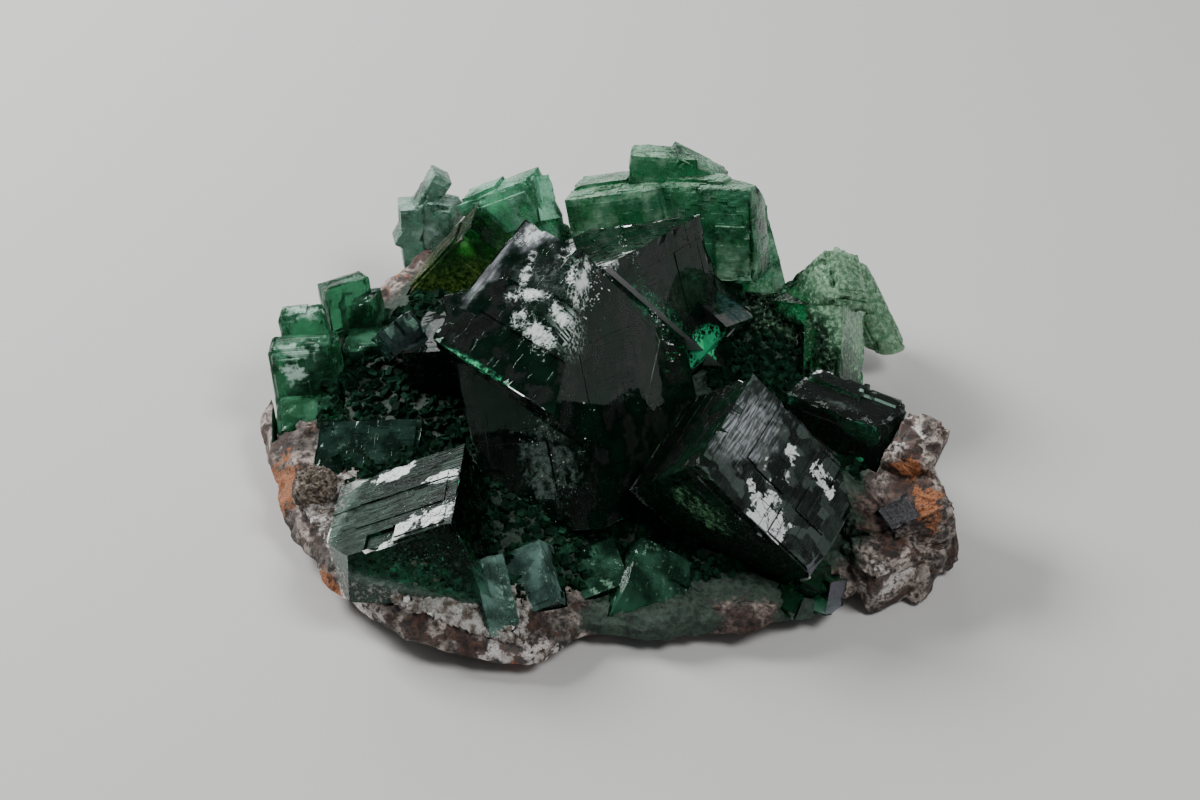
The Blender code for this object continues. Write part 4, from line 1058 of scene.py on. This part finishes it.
rock = rock_material()
lining = lining_material()
degrees = np.linspace(-180, 180, 421)[:-1]
steps = np.concatenate([[0, 1, 2], np.linspace(2, 8, 46)[1:], np.linspace(8, 11, 26)[1:]])
skin, roughness = plate_surface(degrees[None], steps[:, None])
skin = break_up(skin, np.broadcast_to(roughness, skin.shape[:2]))
skin[0], skin[-1] = skin[0, 0], skin[-1, 0]
skin = np.concatenate([skin, skin[:, :1]], axis=1)
skin_faces = grid_faces(len(steps), len(degrees) + 1)[:, ::-1]
matrix_rock = mesh_of("rock_plate", skin.reshape(-1, 3), skin_faces, rock)
for number, (middle, size, turn, foot) in enumerate((
        ((28.9, -7.7, 6), (4.6, 7, 12), (-10, 12, -25), 0.9),
        ((29.6, -11.8, 4.8), (6.4, 8.2, 9), (4, -12, 18), 0.7),
        ((26.6, -16.9, 3.3), (6, 5, 6), (6, -6, 24), 0.5),
        ((29.4, -15.4, 2.9), (5.4, 4.6, 5.2), (-8, 10, -30), 0.3),
        ((26, -10.6, 4), (8, 10, 7), (0, 5, 12), 1.1))):
    block = lump("block", middle, np.array(size) / 2 * BLOCK_GROWTH, turn, square=0.22, rough=0.55,
                 grain=1.8, seed=20 + number, material=rock, around=140, along=90)
    combine(block, slab((0, 0, foot), (0, 0, -1)), "DIFFERENCE")
    combine(matrix_rock, block, "UNION")
for form, bed in hollows:
    corners = turned(CORNERS * (np.array(form.size) / 2 + GAP), form.turn) + form.middle
    # The hollows are lined with the painted shade.
    hollow = mesh_of("hollow", corners, SIDES, lining)
    for point, normal in form.cuts:
        combine(hollow, slab(np.array(point) + np.array(normal) * GAP, normal), "DIFFERENCE")
    combine(hollow, slab((0, 0, bed - GAP), (0, 0, -1)), "DIFFERENCE")
    combine(matrix_rock, hollow, "DIFFERENCE", "TRANSFER")
place(matrix_rock, "rock", "matrix_rock")

# The ore crystal and the nodule
# A small black metallic crystal set in the rock at the right, and a knobbly, pitted knob of
# brown rock at the left edge.

ORE_TURN = (18, -12, 28)


def ore_material():
    """Black metal with fine lines across its faces."""
    n = Nodes("ore")
    lines = n.noise(0.3, 3, at=n.mapped(ORE_TURN, (1, 0.3, 4)))
    return n.finish({
        "Base Color": n.mix(lines, (0.006, 0.006, 0.007), (0.05, 0.05, 0.055)),
        "Metallic": 0.6,
        "Roughness": n.ramp(lines, 0.3, 0.7, 0.1, 0.35),
        "Normal": n.bump(lines, 0.08, 0.7),
    })


grow("ore_crystal_block", "ore_crystal", "ore", [
    crystal((27.8, -14.2, 6.6), (3.3, 3, 4.6), ORE_TURN, cell=0.4, levels=4, rise=0.07,
            ledges=[(2, 1, -0.9, 0, -0.8, 0.8, 0.3)]),
], ore_material(), bed=4.0, seed=141)


def nodule_material():
    """Dull brown grains with dark pits."""
    n = Nodes("nodule")
    grains = n.noise(0.4, 6, rough=0.7)
    pits = n.cells(n.at, 0, 1.3)[0]
    colour = n.grade(grains, 0.4, 0.65, (0.05, 0.035, 0.025), (0.36, 0.3, 0.24))
    return n.finish({
        "Base Color": n.grade(pits, 0.25, 0.1, colour, (0.02, 0.015, 0.012)),
        "Roughness": 0.75,
        "Normal": n.bump(n.plus(grains, pits), 0.3, 0.9),
    })


pitted_nodule = lump("nodule_knob", (-28.4, -8.4, 5.6), (2.25, 2.15, 2.8), (0, 0, 0), square=0.9,
                     rough=0.55, grain=1.2, seed=40, material=nodule_material())
place(pitted_nodule, "nodule", "pitted_nodule")

# The crust of small crystals
# Sugary quartz along the front left rim, and dark green crumbs in the hollows between the
# large crystals: many small cubes that sit on the plate's skin.


def crumbs(name, number, sectors, steps_from, steps_to, size, material, seed):
    """Small turned cubes with their middles on the plate's skin, in the given sectors."""
    random = np.random.default_rng(seed)
    chosen = random.integers(0, len(sectors), number)
    low, high = np.array(sectors).T
    where = low[chosen] + (high - low)[chosen] * random.uniform(0, 1, number)
    middle, rough = plate_surface(where, random.uniform(steps_from, steps_to, number))
    middle = break_up(middle, rough)
    axes = np.linalg.qr(random.normal(0, 1, (number, 3, 3)))[0]
    axes[:, :, 2] *= np.sign(np.linalg.det(axes))[:, None]
    edges = size / 2 * random.uniform(0.35, 1, (number, 1)) ** 1.5 * random.uniform(0.75, 1.25, (number, 3))
    points = np.einsum("nij,nkj->nki", axes, CORNERS * edges[:, None]) + middle[:, None]
    points[..., 2] = np.maximum(points[..., 2], 0.05)
    faces = SIDES + np.arange(0, number * len(CORNERS), len(CORNERS))[:, None, None]
    return mesh_of(name, points.reshape(-1, 3), faces.reshape(-1, 4), material)


def sugar_material():
    """White quartz grains, a little see-through, with brown between them."""
    n = Nodes("sugary quartz")
    grains = n.noise(0.9, 4)
    return n.finish({
        "Base Color": n.grade(grains, 0.38, 0.62, (0.2, 0.16, 0.13), (0.68, 0.65, 0.62)),
        "Roughness": n.ramp(grains, 0.3, 0.7, 0.2, 0.5),
        "Transmission Weight": 0.25,
        "IOR": 1.54,
    })


sugar = crumbs("sugary_crust", 5000, [(-140, -105), (-132, -108), (-160, -140)], steps_from=5.8,
               steps_to=7.7, size=0.6, material=sugar_material(), seed=7)
place(sugar, "rock")


def crumb_material():
    """Nearly black green, opaque because it is full of cracks, and darkened as painted shade
    in the hollows between the large crystals.
    """
    n = Nodes("crumb fluorite")
    grains = n.noise(1.1, 4)
    colour = n.grade(grains, 0.45, 0.7, (0.003, 0.014, 0.007), (0.014, 0.055, 0.03))
    return n.finish({
        "Base Color": colour,
        "Roughness": n.ramp(grains, 0.3, 0.7, 0.5, 0.8),
        "Specular IOR Level": 0.03,
    })


green_crumbs = crumbs("green_crust", 8000, [(-180, 180)], steps_from=7.3, steps_to=9.6, size=0.85,
                      material=crumb_material(), seed=8)
place(green_crumbs, "green_fluorite")

# The floor, the light and the camera
# A plain pale floor, soft boxes above left, front right and behind, and the photograph's view,
# all in metres.

floor_material = bpy.data.materials.new("pale floor")
floor_material.use_nodes = True
surface = floor_material.node_tree.nodes["Principled BSDF"]
surface.inputs["Base Color"].default_value = (0.62, 0.612, 0.6, 1)
surface.inputs["Roughness"].default_value = 0.7
bpy.ops.mesh.primitive_plane_add(size=3.0, location=(0, 0, -0.0001))
floor = bpy.context.object
floor.name = "floor"
floor.data.materials.append(floor_material)

MIDDLE = Vector((-0.0006, 0.0, 0.010))
LIGHT_DISTANCE = 0.42


def soft_box(name, way, width, height, power):
    """A rectangular light that faces the middle of the cluster from this direction."""
    light = bpy.data.lights.new(name, "AREA")
    light.shape = "RECTANGLE"
    light.size = width
    light.size_y = height
    light.energy = power
    lamp = bpy.data.objects.new(name, light)
    towards = Vector(way).normalized()
    lamp.location = MIDDLE + towards * LIGHT_DISTANCE
    lamp.rotation_mode = "QUATERNION"
    lamp.rotation_quaternion = towards.to_track_quat("Z", "Y")
    bpy.context.scene.collection.objects.link(lamp)


soft_box("box above left", (-0.68, 0.40, 0.61), 0.18, 0.14, 2.2)
soft_box("box front right", (0.48, -0.28, 0.83), 0.14, 0.14, 1.0)
soft_box("box behind", (-0.25, 0.86, 0.44), 0.3, 0.2, 0.5)

world = bpy.data.worlds.new("studio")
world.use_nodes = True
world.node_tree.nodes["Background"].inputs["Color"].default_value = (0.9, 0.95, 1.0, 1)
world.node_tree.nodes["Background"].inputs["Strength"].default_value = 0.13
bpy.context.scene.world = world

VIEW_RISE = math.radians(40)
VIEW_DISTANCE = 0.232
camera = bpy.data.objects.new("camera", bpy.data.cameras.new("camera"))
camera.data.lens = 70
camera.data.sensor_width = 36
camera.data.clip_start = 0.01
back = Vector((0, -math.cos(VIEW_RISE), math.sin(VIEW_RISE)))
camera.location = MIDDLE + back * VIEW_DISTANCE
camera.rotation_mode = "QUATERNION"
camera.rotation_quaternion = back.to_track_quat("Z", "Y")
bpy.context.scene.collection.objects.link(camera)
bpy.context.scene.camera = camera
